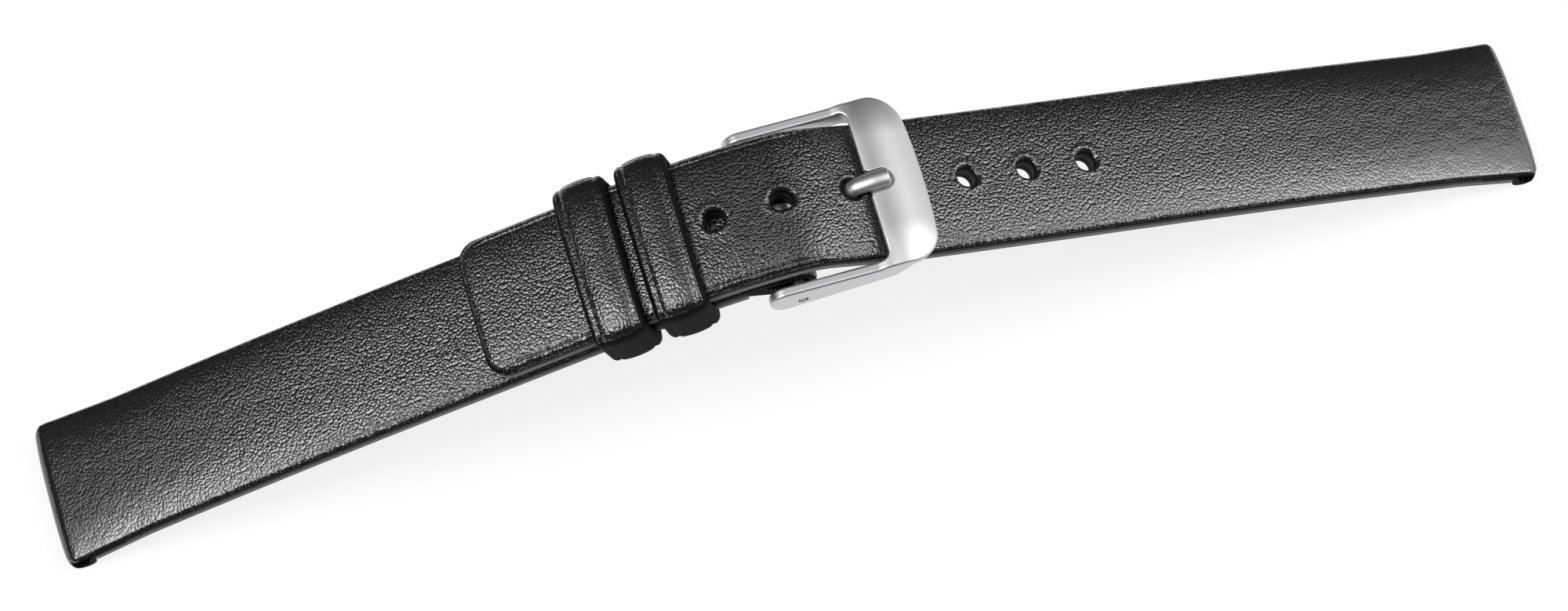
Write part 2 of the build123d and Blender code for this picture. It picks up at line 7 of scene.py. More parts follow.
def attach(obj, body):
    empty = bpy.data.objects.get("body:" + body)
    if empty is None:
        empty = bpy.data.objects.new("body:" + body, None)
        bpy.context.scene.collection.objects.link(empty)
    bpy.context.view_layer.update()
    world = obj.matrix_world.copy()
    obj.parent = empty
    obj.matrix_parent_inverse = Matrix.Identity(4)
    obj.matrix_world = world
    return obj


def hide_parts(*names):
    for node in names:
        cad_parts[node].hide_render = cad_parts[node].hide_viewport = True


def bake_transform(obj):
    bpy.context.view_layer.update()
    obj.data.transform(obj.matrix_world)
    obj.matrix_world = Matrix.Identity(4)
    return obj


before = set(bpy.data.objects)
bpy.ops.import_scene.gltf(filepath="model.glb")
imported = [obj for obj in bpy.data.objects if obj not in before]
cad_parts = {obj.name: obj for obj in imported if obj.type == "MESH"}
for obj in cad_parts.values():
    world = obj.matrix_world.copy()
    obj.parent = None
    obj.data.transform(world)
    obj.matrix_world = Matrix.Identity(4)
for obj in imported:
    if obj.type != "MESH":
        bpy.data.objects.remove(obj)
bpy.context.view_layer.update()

# Long strap, upper leather
# The top face of the strap's long piece is grained calf, cut to a strip, creased along its border and
# punched with seven dished holes. At the lug end it is skived, turned round an eye and glued under itself.

# Sizes are in millimetres and bends in degrees. y runs across a strap and s along it: from the tip on
# the long one, and from the eye on the short one
mm = 0.001
strap_half = 7.0
upper_thick = 0.8
filler_thick = 0.6
crown_drop = 0.45

# Guide lines of both straps in side view: where the short one starts as x, z and heading, then the
# length and bend of each run. The long one starts on the short one's line, and its top lies above it
short_start = (-73.3583, 2.8845, 22.6279)
short_bends = ((38.5, -4.81), (22.7, 0.0), (14.3, -15.66))
long_bends = (
    (16.0, 0.0), (14.3, -15.66), (3.95, -26.37), (4.41, 0.0), (5.4, 6.15), (20.0, 0.93), (44.5, -3.25),
)
tab_tip_at = 45.2
long_top = 2.3

# Lug ends: the turned eye, the flap behind it, the strap's swelling towards it and its round corner,
# and the thinner leather where the turn starts
eye_radius, bore_radius = 1.5, 0.8
eye_turn = 266.0
lug_flap, flap_gap, flap_step = 5.0, 0.25, 0.3
lug_swell, lug_swell_run = 0.3, 7.0
lug_corner, lug_corner_share, lug_overhang = 0.8, 0.98, 0.05
skive, skive_run = 0.1, 1.5

tip_corner = 2.1
hole_first, hole_pitch, hole_count = 24.39, 6.26, 7
hole_places = hole_first + hole_pitch * np.arange(hole_count)
hole_radius = 1.0

# The edge rolls over, more so on the tab, which is also creased, and most at its tip. Each hole is
# dished, inside a low swelling
edge_roll_wide, edge_roll_deep = 0.45, 0.3
tab_roll_wide, tab_roll_deep, tab_crease = 0.2, 0.18, 0.06
tip_roll_wide, tip_roll_deep = 0.35, 0.1
tip_fade, tab_fade = (1.2, 3.0), (30, 36)
crease_inset, crease_wide = 0.12, 0.1
dish_deep, dish_wide = 0.25, 0.3
lip_high, lip_away, lip_wide = 0.05, 0.45, 0.2
painted_edge, painted_tip = 0.08, 0.25

# Steps of the net: in from the strap's edge, over the rest, in shares round an opening, down a wall
edge_steps = np.array([
    0, 0.01, 0.03, 0.06, 0.11, 0.18, 0.26, 0.33, 0.38, 0.42, 0.46, 0.52, 0.6, 0.68, 0.73, 0.77, 0.81, 0.86,
    0.95, 1.1, 1.3, 1.55, 1.85, 2.2, 2.6,
])
fine_step, plain_step, side_step = 0.2, 0.4, 0.45
opening_margin = 2.0
ring_shares = (0.3, 0.5, 0.62, 0.72, 0.8, 0.86, 0.91, 0.95, 0.98, 1.0)
wall_depth_shares = (0.04, 0.25, 0.5, 0.75, 0.96)
wall_swell = 0.03
sharp_angle = np.radians(40)


def side_curve(start, bends, s):
    """Side view of a guide line: each run moves on by its chord, its length times sin(b/2)/(b/2) for
    its bend b, in the direction of its middle. Gives x, z and heading for every s."""
    x, z, heading = (np.full(np.shape(s), value, float) for value in start)
    heading = np.radians(heading)
    begun = 0.0
    for length, turn in bends:
        run = np.clip(s - begun, 0, length)
        bend = np.radians(turn) * run / length
        chord = run * np.sinc(bend / (2 * np.pi))
        x = x + chord * np.cos(heading + bend / 2)
        z = z + chord * np.sin(heading + bend / 2)
        heading = heading + bend
        begun += length
    return x, z, heading


def beside(guide, s, offset):
    """A guide line moved off to its upper side: (x, z) plus the offset times (-sin, cos) of the heading."""
    x, z, heading = side_curve(*guide, s)
    return np.stack([x - offset * np.sin(heading), z + offset * np.cos(heading)])


def smooth(value, low, high):
    """0 below low, 1 above high, and 3t^2 - 2t^3 between them."""
    t = np.clip((value - low) / (high - low), 0, 1)
    return t * t * (3 - 2 * t)


def stations(*stops, step=plain_step):
    """Distances from the first stop to the last that pass through every stop, about a step apart."""
    runs = [
        np.linspace(a, b, max(2, int(round((b - a) / step)) + 1))[:-1] for a, b in zip(stops, stops[1:])
    ]
    return np.concatenate(runs + [stops[-1:]])


def eye_path(guide, length, top, outward):
    """Outer and inner line of the leather round an eye: circles about the eye's centre from above it
    round its front to its back, then the flap's two lines back under the upper leather."""
    turn = np.radians(np.linspace(0, eye_turn, 39)[1:])
    x, z, heading = side_curve(*guide, np.array(length))
    ahead = outward * np.array([np.cos(heading), np.sin(heading)])[:, None]
    up = np.array([-np.sin(heading), np.cos(heading)])[:, None]
    centre = beside(guide, np.array(length), top - eye_radius)[:, None]
    spoke = up * np.cos(turn) + ahead * np.sin(turn)
    back = length - outward * np.linspace(eye_radius + flap_gap, lug_flap, 13)
    outer = beside(guide, back, top - upper_thick - filler_thick)
    inner = beside(guide, back, top - upper_thick)
    inner[:, 0] = (2 * inner[:, 0] + (centre + bore_radius * spoke)[:, -1]) / 3
    outer = np.hstack([centre + eye_radius * spoke, outer])
    inner = np.hstack([centre + bore_radius * spoke, inner])
    reach = np.concatenate([eye_radius * turn, eye_radius * turn[-1] + np.abs(back - back[0]) + flap_step])
    return reach, outer, inner


def lug_half(x, eye_x, outward):
    """Half width over a lug end: it swells in a straight line up to the eye, and the corner is a
    quarter circle."""
    over = outward * (x - eye_x)
    swell = lug_swell * np.clip(1 + over / lug_swell_run, 0, 1)
    into = np.clip(over - (eye_radius + lug_overhang - lug_corner), 0, lug_corner * lug_corner_share)
    return strap_half + swell - (lug_corner - np.sqrt(lug_corner**2 - into**2))


def sheet_net(lines, half, rows, openings=()):
    """Flat net of a sheet: lines along it times rows across it, scaled to the half width at each line.
    Round each opening, a stadium about the run from first to last, the block of cells gives way to
    rings that pass in shares from the block's edge to the opening's edge."""
    s = np.repeat(lines, rows.size)
    y = (half[:, None] * rows / rows[-1]).ravel()
    index = np.arange(s.size).reshape(lines.size, rows.size)
    kept = np.ones((lines.size - 1, rows.size - 1), bool)
    loops = [np.concatenate([index[:-1, 0], index[-1, :-1], index[:0:-1, -1], index[0, :0:-1]])]
    faces = []
    for first, last, radius in openings:
        i0, i1 = (np.abs(lines - place).argmin() for place in (first - opening_margin, last + opening_margin))
        j0, j1 = (np.abs(rows - place).argmin() for place in (-opening_margin, opening_margin))
        kept[i0:i1, j0:j1] = False
        edge = np.concatenate(
            [index[i0:i1, j0], index[i1, j0:j1], index[i1:i0:-1, j1], index[i0, j1:j0:-1]]
        )
        spine = np.clip(s[edge], first, last)
        away = np.hypot(s[edge] - spine, y[edge])
        goal = spine + (s[edge] - spine) / away * radius, y[edge] / away * radius
        ring = edge
        for share in ring_shares:
            new = s.size + np.arange(edge.size)
            s = np.append(s, s[edge] + (goal[0] - s[edge]) * share)
            y = np.append(y, y[edge] + (goal[1] - y[edge]) * share)
            faces.append(np.stack([ring, np.roll(ring, -1), np.roll(new, -1), new], 1))
            ring = new
        loops.append(ring[::-1])
    cells = np.stack([index[:-1, :-1], index[1:, :-1], index[1:, 1:], index[:-1, 1:]], -1)[kept]
    faces = np.vstack([cells] + faces)
    used, place = np.unique(faces, return_inverse=True)
    number = np.zeros(s.size, int)
    number[used] = np.arange(used.size)
    return s[used], y[used], place.reshape(faces.shape), [number[loop] for loop in loops]


def finished(name, points, faces, lie, extra=None, painted=None):
    """A mesh object from points in millimetres. Each point keeps its lie, its place in the flat hide
    in millimetres, so that the grain follows the leather round its folds. Painted faces take the
    second material."""
    mesh = bpy.data.meshes.new(name)
    mesh.from_pydata((points * mm).tolist(), [], [face for group in faces for face in group.tolist()])
    mesh.attributes.new("lie", "FLOAT_VECTOR", "POINT").data.foreach_set(
        "vector", lie.astype(np.float32).ravel()
    )
    for key, values in (extra or {}).items():
        mesh.attributes.new(key, "FLOAT", "POINT").data.foreach_set("value", values.astype(np.float32))
    if painted is not None:
        mesh.polygons.foreach_set("material_index", painted.astype(np.int32))
    mesh.shade_smooth()
    mesh.set_sharp_from_angle(angle=sharp_angle)
    piece = bpy.data.objects.new(name, mesh)
    bpy.context.scene.collection.objects.link(piece)
    return piece


def leather_sheet(name, net, path, top, low, grain, paint=None, bulge=wall_swell):
    """A sheet of leather from its flat net. A point lies a share of the way from the path's outer line
    to its inner line: top on the grain side, low on the flesh side. Walls close its border and its
    holes, and swell by a parabola of the share. The attribute edge is 1 on the border's wall, -1 in
    the holes and 0 elsewhere, and the attribute grain is read from two rows, distance and strength.
    When paint is given, all walls are edge painted, and the grain side too where paint is true."""
    s, y, faces, loops = net
    flat_s, flat_y, share, edge = [s, s], [y, y], [top, low], [np.zeros(s.size), np.zeros(s.size)]
    groups = [faces, faces[:, ::-1] + s.size]
    total = 2 * s.size
    for number, loop in enumerate(loops):
        ahead, behind = np.roll(loop, -1), np.roll(loop, 1)
        run_s, run_y = s[ahead] - s[behind], y[ahead] - y[behind]
        size = np.hypot(run_s, run_y)
        ring = loop
        for depth in wall_depth_shares:
            swell = bulge * (1 - (2 * depth - 1) ** 2)
            new = total + np.arange(loop.size)
            flat_s.append(s[loop] + run_y / size * swell)
            flat_y.append(y[loop] - run_s / size * swell)
            share.append(top[loop] + (low[loop] - top[loop]) * depth)
            edge.append(np.full(loop.size, -1.0 if number else 1.0))
            groups.append(np.stack([ring, new, np.roll(new, -1), np.roll(ring, -1)], 1))
            ring = new
            total += loop.size
        foot = loop + s.size
        groups.append(np.stack([ring, foot, np.roll(foot, -1), np.roll(ring, -1)], 1))
    s, y, share = np.concatenate(flat_s), np.concatenate(flat_y), np.concatenate(share)
    outer_x, outer_z, inner_x, inner_z = (np.interp(s, path[0], line) for line in path[1:])
    x = outer_x + (inner_x - outer_x) * share
    z = outer_z + (inner_z - outer_z) * share
    lie = np.stack([s, y, share], 1)
    extra = {"edge": np.concatenate(edge), "grain": np.interp(s, *grain)}
    painted = None
    if paint is not None:
        painted = np.ones(sum(len(group) for group in groups), bool)
        painted[: 2 * len(faces)] = np.append(paint[faces].all(1), np.zeros(len(faces), bool))
    return finished(name, np.stack([x, y, z], 1), groups, lie, extra, painted)


def rounded(distance, radius):
    """How far a face drops near an edge rounded by a quarter circle."""
    near = np.clip(radius - distance, 0, radius)
    return radius - np.sqrt(radius**2 - near**2)


def rolled(distance, wide, deep):
    """How far a face drops near an edge rolled over in a quarter ellipse."""
    near = np.clip(1 - distance / wide, 0, 1)
    return deep * (1 - np.sqrt(1 - near**2))


def tip_distance(s, y, half):
    """Distance inside the strap's outline at its tip, whose corners are quarter circles."""
    past_s, past_y = tip_corner - s, np.abs(y) - (strap_half - tip_corner)
    corner = tip_corner - np.hypot(np.maximum(past_s, 0), np.maximum(past_y, 0))
    inside = np.where((past_s > 0) & (past_y > 0), corner, np.minimum(s, half - np.abs(y)))
    return np.maximum(inside, 0)


def creased(distance, wide, deep, crease):
    """Border of the grain side: an edge rolled over in a quarter ellipse, and inside it a groove that is
    a bell curve across."""
    groove = np.exp(-(((distance - wide - crease_inset) / crease_wide) ** 2))
    return rolled(distance, wide, deep) + crease * groove


def rows_over(steps):
    """Rows across a strap: steps in from each edge, then even spacing, finer over the middle."""
    side = strap_half - steps
    middle = opening_margin
    inner = np.arange(-middle, middle + fine_step / 4, fine_step)
    between = np.linspace(side[-1], middle, max(2, int(round((side[-1] - middle) / side_step)) + 1))[1:-1]
    positive = np.concatenate([side, between])
    return np.concatenate([-positive, inner, positive[::-1]])


def colour(code):
    """A hex sRGB colour as linear red, green, blue and 1."""
    value = np.array([int(code[i : i + 2], 16) for i in (1, 3, 5)]) / 255
    linear = np.where(value <= 0.04045, value / 12.92, ((value + 0.055) / 1.055) ** 2.4)
    return (*linear.tolist(), 1.0)


def add(tree, kind, inputs=(), **settings):
    """Adds a node. Settings are its own properties, and inputs pair a socket with a value or with the
    output of another node."""
    made = tree.nodes.new(kind)
    for key, value in settings.items():
        setattr(made, key, value)
    for socket, value in dict(inputs).items():
        if isinstance(value, bpy.types.NodeSocket):
            tree.links.new(value, made.inputs[socket])
        else:
            made.inputs[socket].default_value = value
    return made


def finish(name):
    """A new material with its Principled shader and the tree to build in."""
    material = bpy.data.materials.new(name)
    material.use_nodes = True
    return material, material.node_tree, material.node_tree.nodes["Principled BSDF"]


# Drum-dyed calf, printed with a fine pebble grain and glazed. The pebbles are 0.28 mm wide, flatter
# towards the lug ends where the hide is drawn tight, and their crowns glint.
pebbles_per_mm, pores_per_mm, slack_per_mm = 3.6, 6.5, 0.65
grain_depth = 0.055
grained_calf, tree, shader = finish("grained calf")
lie = add(tree, "ShaderNodeAttribute", attribute_name="lie").outputs["Vector"]
print_size = add(
    tree, "ShaderNodeMapping", {"Vector": lie, "Scale": (pebbles_per_mm, pebbles_per_mm, 1.0)}
).outputs[0]
wobble = add(
    tree, "ShaderNodeTexNoise", {"Vector": print_size, "Scale": 0.8, "Detail": 1.0}
).outputs["Color"]
warped = add(
    tree, "ShaderNodeVectorMath", {0: wobble, 1: (0.5, 0.5, 0.0), 2: print_size}, operation="MULTIPLY_ADD"
).outputs[0]
pebbles = add(
    tree, "ShaderNodeTexVoronoi", {"Vector": warped, "Scale": 1.0, "Smoothness": 0.25},
    feature="SMOOTH_F1", voronoi_dimensions="2D",
).outputs["Distance"]
# Pores of about 0.15 mm, and slack creases some 1.5 mm apart
pores = add(tree, "ShaderNodeTexNoise", {"Vector": lie, "Scale": pores_per_mm, "Detail": 1.0}).outputs["Fac"]
slack = add(tree, "ShaderNodeTexNoise", {"Vector": lie, "Scale": slack_per_mm, "Detail": 2.0}).outputs["Fac"]
height = add(tree, "ShaderNodeMath", {0: pores, 1: 0.25}, operation="MULTIPLY").outputs[0]
height = add(tree, "ShaderNodeMath", {0: pebbles, 1: -1.0, 2: height}, operation="MULTIPLY_ADD").outputs[0]
grain = add(tree, "ShaderNodeAttribute", attribute_name="grain").outputs["Fac"]
height = add(tree, "ShaderNodeMath", {0: height, 1: grain}, operation="MULTIPLY").outputs[0]
height = add(tree, "ShaderNodeMath", {0: slack, 1: 0.8, 2: height}, operation="MULTIPLY_ADD").outputs[0]
bump = add(tree, "ShaderNodeBump", {"Height": height, "Strength": 1.0, "Distance": grain_depth * mm})
tree.links.new(bump.outputs[0], shader.inputs["Normal"])
tree.links.new(bump.outputs[0], shader.inputs["Coat Normal"])
cloud = add(tree, "ShaderNodeTexNoise", {"Vector": lie, "Scale": 0.25, "Detail": 3.0}).outputs["Fac"]
tone = add(
    tree, "ShaderNodeMix", {"Factor": cloud, "A": colour("#0e0e0f"), "B": colour("#151516")},
    data_type="RGBA",
)
tree.links.new(tone.outputs["Result"], shader.inputs["Base Color"])
gloss = add(
    tree, "ShaderNodeMapRange",
    {"Value": pores, "From Min": 0.3, "From Max": 0.7, "To Min": 0.19, "To Max": 0.27},
).outputs[0]
tree.links.new(gloss, shader.inputs["Roughness"])
shader.inputs["Specular IOR Level"].default_value = 1.0
shader.inputs["Coat Weight"].default_value = 1.0
shader.inputs["Coat Roughness"].default_value = 0.12

# Edge paint: the cut edges and the holes' walls are stained black and stay matt
edge_paint, tree, shader = finish("edge paint")
lie = add(tree, "ShaderNodeAttribute", attribute_name="lie").outputs["Vector"]
# Brushed on unevenly, in patches of about 0.5 mm, over fibres 0.3 mm apart
patches = add(tree, "ShaderNodeTexNoise", {"Vector": lie, "Scale": 2.0, "Detail": 2.0}).outputs["Fac"]
tone = add(
    tree, "ShaderNodeMix", {"Factor": patches, "A": colour("#080808"), "B": colour("#171718")},
    data_type="RGBA",
)
tree.links.new(tone.outputs["Result"], shader.inputs["Base Color"])
shader.inputs["Roughness"].default_value = 0.6
shader.inputs["Specular IOR Level"].default_value = 0.1
rough = add(tree, "ShaderNodeTexNoise", {"Vector": lie, "Scale": 3.6, "Detail": 2.0}).outputs["Fac"]
bump = add(tree, "ShaderNodeBump", {"Height": rough, "Strength": 1.0, "Distance": 0.00004})
tree.links.new(bump.outputs[0], shader.inputs["Normal"])

# The long strap's guide starts on the short one's, under the tab's tip
tip_x, tip_z, tip_heading = (float(v) for v in side_curve(short_start, short_bends, np.array(tab_tip_at)))
long_guide = ((tip_x, tip_z, np.degrees(tip_heading)), long_bends)
long_length = sum(length for length, bend in long_bends)
right_eye = beside(long_guide, np.array(long_length), long_top - eye_radius)


def long_half(lines, x):
    """Half width of the long strap: quarter circles at the tip, the swell at the lug end."""
    into = np.clip(tip_corner - lines, 0, tip_corner)
    return lug_half(x, right_eye[0], 1) - (tip_corner - np.sqrt(tip_corner**2 - into**2))


# Lines across the strap: close at the tip, over the holes and before the eye
hole_blocks = np.stack([hole_places - opening_margin, hole_places + opening_margin], 1).ravel()
before_eye = long_length - 2.0
lines = np.concatenate([
    edge_steps[:-1], stations(edge_steps[-1], hole_blocks[0])[:-1],
    stations(*hole_blocks, step=fine_step)[:-1], stations(hole_blocks[-1], before_eye)[:-1],
    stations(before_eye, long_length, step=fine_step),
])
reach, turned_outer, turned_inner = eye_path(long_guide, long_length, long_top, 1)
outer = np.hstack([beside(long_guide, lines, long_top), turned_outer])
under = long_top - upper_thick + skive * smooth(lines, long_length - skive_run, long_length)
inner = np.hstack([beside(long_guide, lines, under), turned_inner])
lines = np.concatenate([lines, long_length + reach])
half = long_half(lines, outer[0])
openings = [(place, place, hole_radius) for place in hole_places]
net = sheet_net(lines, half, rows_over(edge_steps), openings)
s, y = net[:2]
border = tip_distance(s, y, np.interp(s, lines, half))
hole_gap = np.hypot(s - hole_places[:, None], y).min(0) - hole_radius

# The rolled edge fades out on the eye's far side. The crown flattens towards the lugs and is gone there
showing = 1 - smooth(s, long_length + 4.2, long_length + 6.0)
padding = 1 - 0.3 * smooth(s, long_length - 8, long_length)
padding = padding - 0.7 * smooth(s, long_length + 3, long_length + 6)
on_tab = 1 - smooth(s, *tab_fade)
at_tip = 1 - smooth(s, *tip_fade)
wide = edge_roll_wide + tab_roll_wide * on_tab + tip_roll_wide * at_tip
deep = edge_roll_deep + tab_roll_deep * on_tab + tip_roll_deep * at_tip
crease = tab_crease * on_tab * (1 - at_tip)
drop = creased(border, wide, deep, crease) * showing + crown_drop * np.abs(y / strap_half) ** 3 * padding
dish = dish_deep * np.clip(1 - hole_gap / dish_wide, 0, 1) ** 1.6
drop = drop + dish - lip_high * np.exp(-(((hole_gap - lip_away) / lip_wide) ** 2))
long_grain = [0, 45, 80, 97, long_length], [0.9, 1.05, 0.75, 0.35, 0.2]
long_upper = leather_sheet(
    "long_upper_leather", net, (lines, *outer, *inner), drop / upper_thick, np.ones(s.size),
    grain=long_grain, paint=border < painted_edge + painted_tip * at_tip,
)
long_upper.data.materials.append(grained_calf)
long_upper.data.materials.append(edge_paint)
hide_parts("long_upper")

# Long strap, filler
# A strip of leather board between the two leathers gives the strap its body. Only its painted edge
# shows, as the dark middle of the strap's side and of each hole's wall.

leather_board, tree, shader = finish("leather board")
where = add(tree, "ShaderNodeTexCoord").outputs["Object"]
# Fibres of about 0.1 mm
fibre = add(tree, "ShaderNodeTexNoise", {"Vector": where, "Scale": 9000.0, "Detail": 2.0}).outputs["Fac"]
tone = add(
    tree, "ShaderNodeMix", {"Factor": fibre, "A": colour("#121212"), "B": colour("#252423")},
    data_type="RGBA",
)
tree.links.new(tone.outputs["Result"], shader.inputs["Base Color"])
shader.inputs["Roughness"].default_value = 0.6

coarse_steps = np.array([0, 0.05, 0.15, 0.4, 0.9, 1.6, 2.4])
layer_swell = 0.02
filler_inset = 0.04
layer_gap = 0.05


def plain_layer(name, guide, stops, top, low, half_at, openings, edge_in, tip=False, rims=(0.0, 0.0)):
    """One inner layer: its net between two distances, laid between two offsets of the guide line, with
    its edges a little inside the leather above and its two rims rounded."""
    lines = stations(*stops)
    if tip:
        lines = np.concatenate([coarse_steps[:-1], stations(coarse_steps[-1], *stops[1:])])
    outer, inner = beside(guide, lines, top), beside(guide, lines, low)
    half = half_at(lines, outer[0]) - edge_in
    net = sheet_net(lines, half, rows_over(coarse_steps), openings)
    s, y = net[:2]
    border = np.minimum(np.interp(s, lines, half) - np.abs(y), np.minimum(s - lines[0], lines[-1] - s))
    if tip:
        border = np.minimum(tip_distance(s, y, np.interp(s, lines, half)), lines[-1] - s)
    upper, lower = (rounded(np.maximum(border, 0), rim) / (top - low) for rim in rims)
    no_grain = [0, 1], [0, 0]
    path = (lines, *outer, *inner)
    return leather_sheet(name, net, path, upper, 1 - lower, grain=no_grain, bulge=layer_swell)


filler_top = long_top - upper_thick
filler_low = filler_top - filler_thick
long_filler = plain_layer(
    "long_filler_board", long_guide, (0.0, *hole_blocks, long_length - lug_flap - layer_gap),
    filler_top, filler_low, long_half, openings, filler_inset, tip=True,
)
long_filler.data.materials.append(leather_board)
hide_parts("long_filler")

# Long strap, lining
# Soft grey lining leather lies against the wrist. Its raw edge shows as a pale line along the strap's
# side and ends just behind the eye.

lining_leather, tree, shader = finish("lining leather")
where = add(tree, "ShaderNodeTexCoord").outputs["Object"]
# Nap of about 0.15 mm, and cloudy dyeing about 4 mm across
nap = add(tree, "ShaderNodeTexNoise", {"Vector": where, "Scale": 6500.0, "Detail": 3.0}).outputs["Fac"]
cloud = add(tree, "ShaderNodeTexNoise", {"Vector": where, "Scale": 250.0, "Detail": 2.0}).outputs["Fac"]
mixed = add(tree, "ShaderNodeMath", {0: nap, 1: cloud}, operation="MULTIPLY").outputs[0]
tone = add(
    tree, "ShaderNodeMix", {"Factor": mixed, "A": colour("#5c5b59"), "B": colour("#9b9a97")},
    data_type="RGBA",
)
# The cut edge is paler than the face, and the holes' walls are painted near black as painted shade inside the
# holes
edge = add(tree, "ShaderNodeAttribute", attribute_name="edge").outputs["Fac"]
rim = add(tree, "ShaderNodeMix", {"Factor": edge, "B": colour("#b9b7b3")}, data_type="RGBA")
tree.links.new(tone.outputs["Result"], rim.inputs["A"])
inside = add(tree, "ShaderNodeMath", {0: edge, 1: -1.0}, operation="MULTIPLY").outputs[0]
hole_shade = add(tree, "ShaderNodeMix", {"Factor": inside, "B": colour("#101010")}, data_type="RGBA")
tree.links.new(rim.outputs["Result"], hole_shade.inputs["A"])
tree.links.new(hole_shade.outputs["Result"], shader.inputs["Base Color"])
shader.inputs["Roughness"].default_value = 0.8
bump = add(tree, "ShaderNodeBump", {"Height": nap, "Strength": 0.5, "Distance": 0.00003})
tree.links.new(bump.outputs[0], shader.inputs["Normal"])

lining_thick = 0.8
lining_rim = 0.15
eye_gap = 0.06
long_lining = plain_layer(
    "long_lining_leather", long_guide, (0.0, *hole_blocks, long_length - eye_radius - eye_gap),
    filler_low, filler_low - lining_thick, long_half, openings, 0.0, tip=True, rims=(0.0, lining_rim),
)
long_lining.data.materials.append(lining_leather)
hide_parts("long_lining")
for piece in (long_upper, long_filler, long_lining):
    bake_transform(piece)

# Short strap, upper leather
# The same calf, turned round an eye at the lug end and round the buckle's bar at the other, where a
# slot lets the tongue through. Both ends are skived and glued under the top leather.

fold_radius = 1.9
fold_flap = 5.0
fold_void = 4.0
fold_end_run = 0.02
slot_radius = 1.15
slot_depth = 3.5
slot_past_arc = 0.3
slot_round = 0.15
short_guide = (short_start, short_bends)
short_length = sum(length for length, bend in short_bends)
left_eye = beside(short_guide, np.array(0.0), -eye_radius)
pivot = beside(short_guide, np.array(short_length), -fold_radius)


def under_tangent(start, radius):
    """Where a line from behind the bar touches a circle round it from below: the line's slope is the
    slope to the bar less the angle whose sine is the radius over the distance."""
    away = np.hypot(*(pivot - start))
    slope = np.arctan2(*(pivot - start)[::-1]) - np.arcsin(radius / away)
    return start + np.sqrt(away**2 - radius**2) * np.array([np.cos(slope), np.sin(slope)])


def fold_line(start_at, depth, radius, angles, steps):
    """One face of the fold: a circle round the bar, then a straight run back under the strap."""
    start = beside(short_guide, np.array(short_length - start_at), -depth)
    touch = under_tangent(start, radius)
    last = np.arctan2(*(touch - pivot)[::-1])
    above = np.pi / 2 + side_curve(*short_guide, np.array(short_length))[2]
    turn = above + (last - above) * np.linspace(0, 1, angles)[1:]
    arc = pivot[:, None] + radius * np.stack([np.cos(turn), np.sin(turn)])
    run = touch[:, None] + (start - touch)[:, None] * np.linspace(0, 1, steps)[1:]
    return np.hstack([arc, run]), radius * (above - last)


reach, turned_outer, turned_inner = eye_path(short_guide, 0.0, 0.0, -1)
after_eye, before_fold = 2.0, short_length - 7.0
lines = np.concatenate([
    stations(0.0, after_eye, step=fine_step)[:-1], stations(after_eye, before_fold)[:-1],
    stations(before_fold, short_length, step=fine_step),
])
fold_outer, fold_arc = fold_line(fold_flap, upper_thick + filler_thick, fold_radius, 41, 17)
fold_inner, _ = fold_line(fold_void, upper_thick, fold_radius - upper_thick, 41, 17)
glued = beside(short_guide, short_length - np.linspace(fold_void, fold_flap, 5)[1:], -upper_thick)
fold_stop = short_length - np.linspace(fold_flap - fold_end_run, fold_flap, 5)[1:]
fold_end = beside(short_guide, fold_stop, -upper_thick - filler_thick)
fold_outer, fold_inner = np.hstack([fold_outer, fold_end]), np.hstack([fold_inner, glued])
fold_steps = np.hypot(*np.diff(np.hstack([beside(short_guide, np.array([short_length]), 0), fold_outer])))
fold_reach = np.cumsum(np.maximum(fold_steps, 0.01))
outer = np.hstack([turned_outer[:, ::-1], beside(short_guide, lines, 0.0), fold_outer])
over_eye = -upper_thick + skive * (1 - smooth(lines, 0, skive_run))
inner = np.hstack([turned_inner[:, ::-1], beside(short_guide, lines, over_eye), fold_inner])
lines = np.concatenate([-reach[::-1], lines, short_length + fold_reach])
half = lug_half(outer[0], left_eye[0], -1)
slot_first = short_length - slot_depth + slot_radius
slot_last = short_length + fold_arc + slot_past_arc
slot = [(slot_first, slot_last, slot_radius)]
net = sheet_net(lines, half, rows_over(edge_steps), slot)
s, y = net[:2]
border = np.maximum(np.interp(s, lines, half) - np.abs(y), 0)

# As on the long strap, and the crown also flattens before the bar
arc_end = short_length + fold_arc
showing = smooth(s, -6.0, -4.2) * (1 - smooth(s, arc_end, arc_end + 1.5))
padding = 0.7 * smooth(s, -6, -3) + 0.3 * smooth(s, 0, 8) - smooth(s, short_length - 12, short_length - 4)
slot_gap = np.hypot(s - np.clip(s, slot_first, slot_last), y) - slot_radius
drop = rolled(border, edge_roll_wide, edge_roll_deep) * showing
drop = drop + crown_drop * np.abs(y / strap_half) ** 3 * padding
drop = drop + rounded(np.maximum(slot_gap, 0), slot_round)
short_grain = [0, 8, 28, 45], [0.3, 0.45, 0.85, 1.0]
short_upper = leather_sheet(
    "short_upper_leather", net, (lines, *outer, *inner), drop / upper_thick, np.ones(s.size),
    grain=short_grain, paint=(border < painted_edge) & (s > 0),
)
short_upper.data.materials.append(grained_calf)
short_upper.data.materials.append(edge_paint)
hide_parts("short_upper")
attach(short_upper, "short_strap")

# Short strap, filler and lining
# The same leather board and lining leather as in the long strap, glued under the upper leather. Both
# stop short of the eye and of the bar's fold.


def short_half(lines, x):
    """Half width of the short strap, which swells at its lug end."""
    return lug_half(x, left_eye[0], -1)


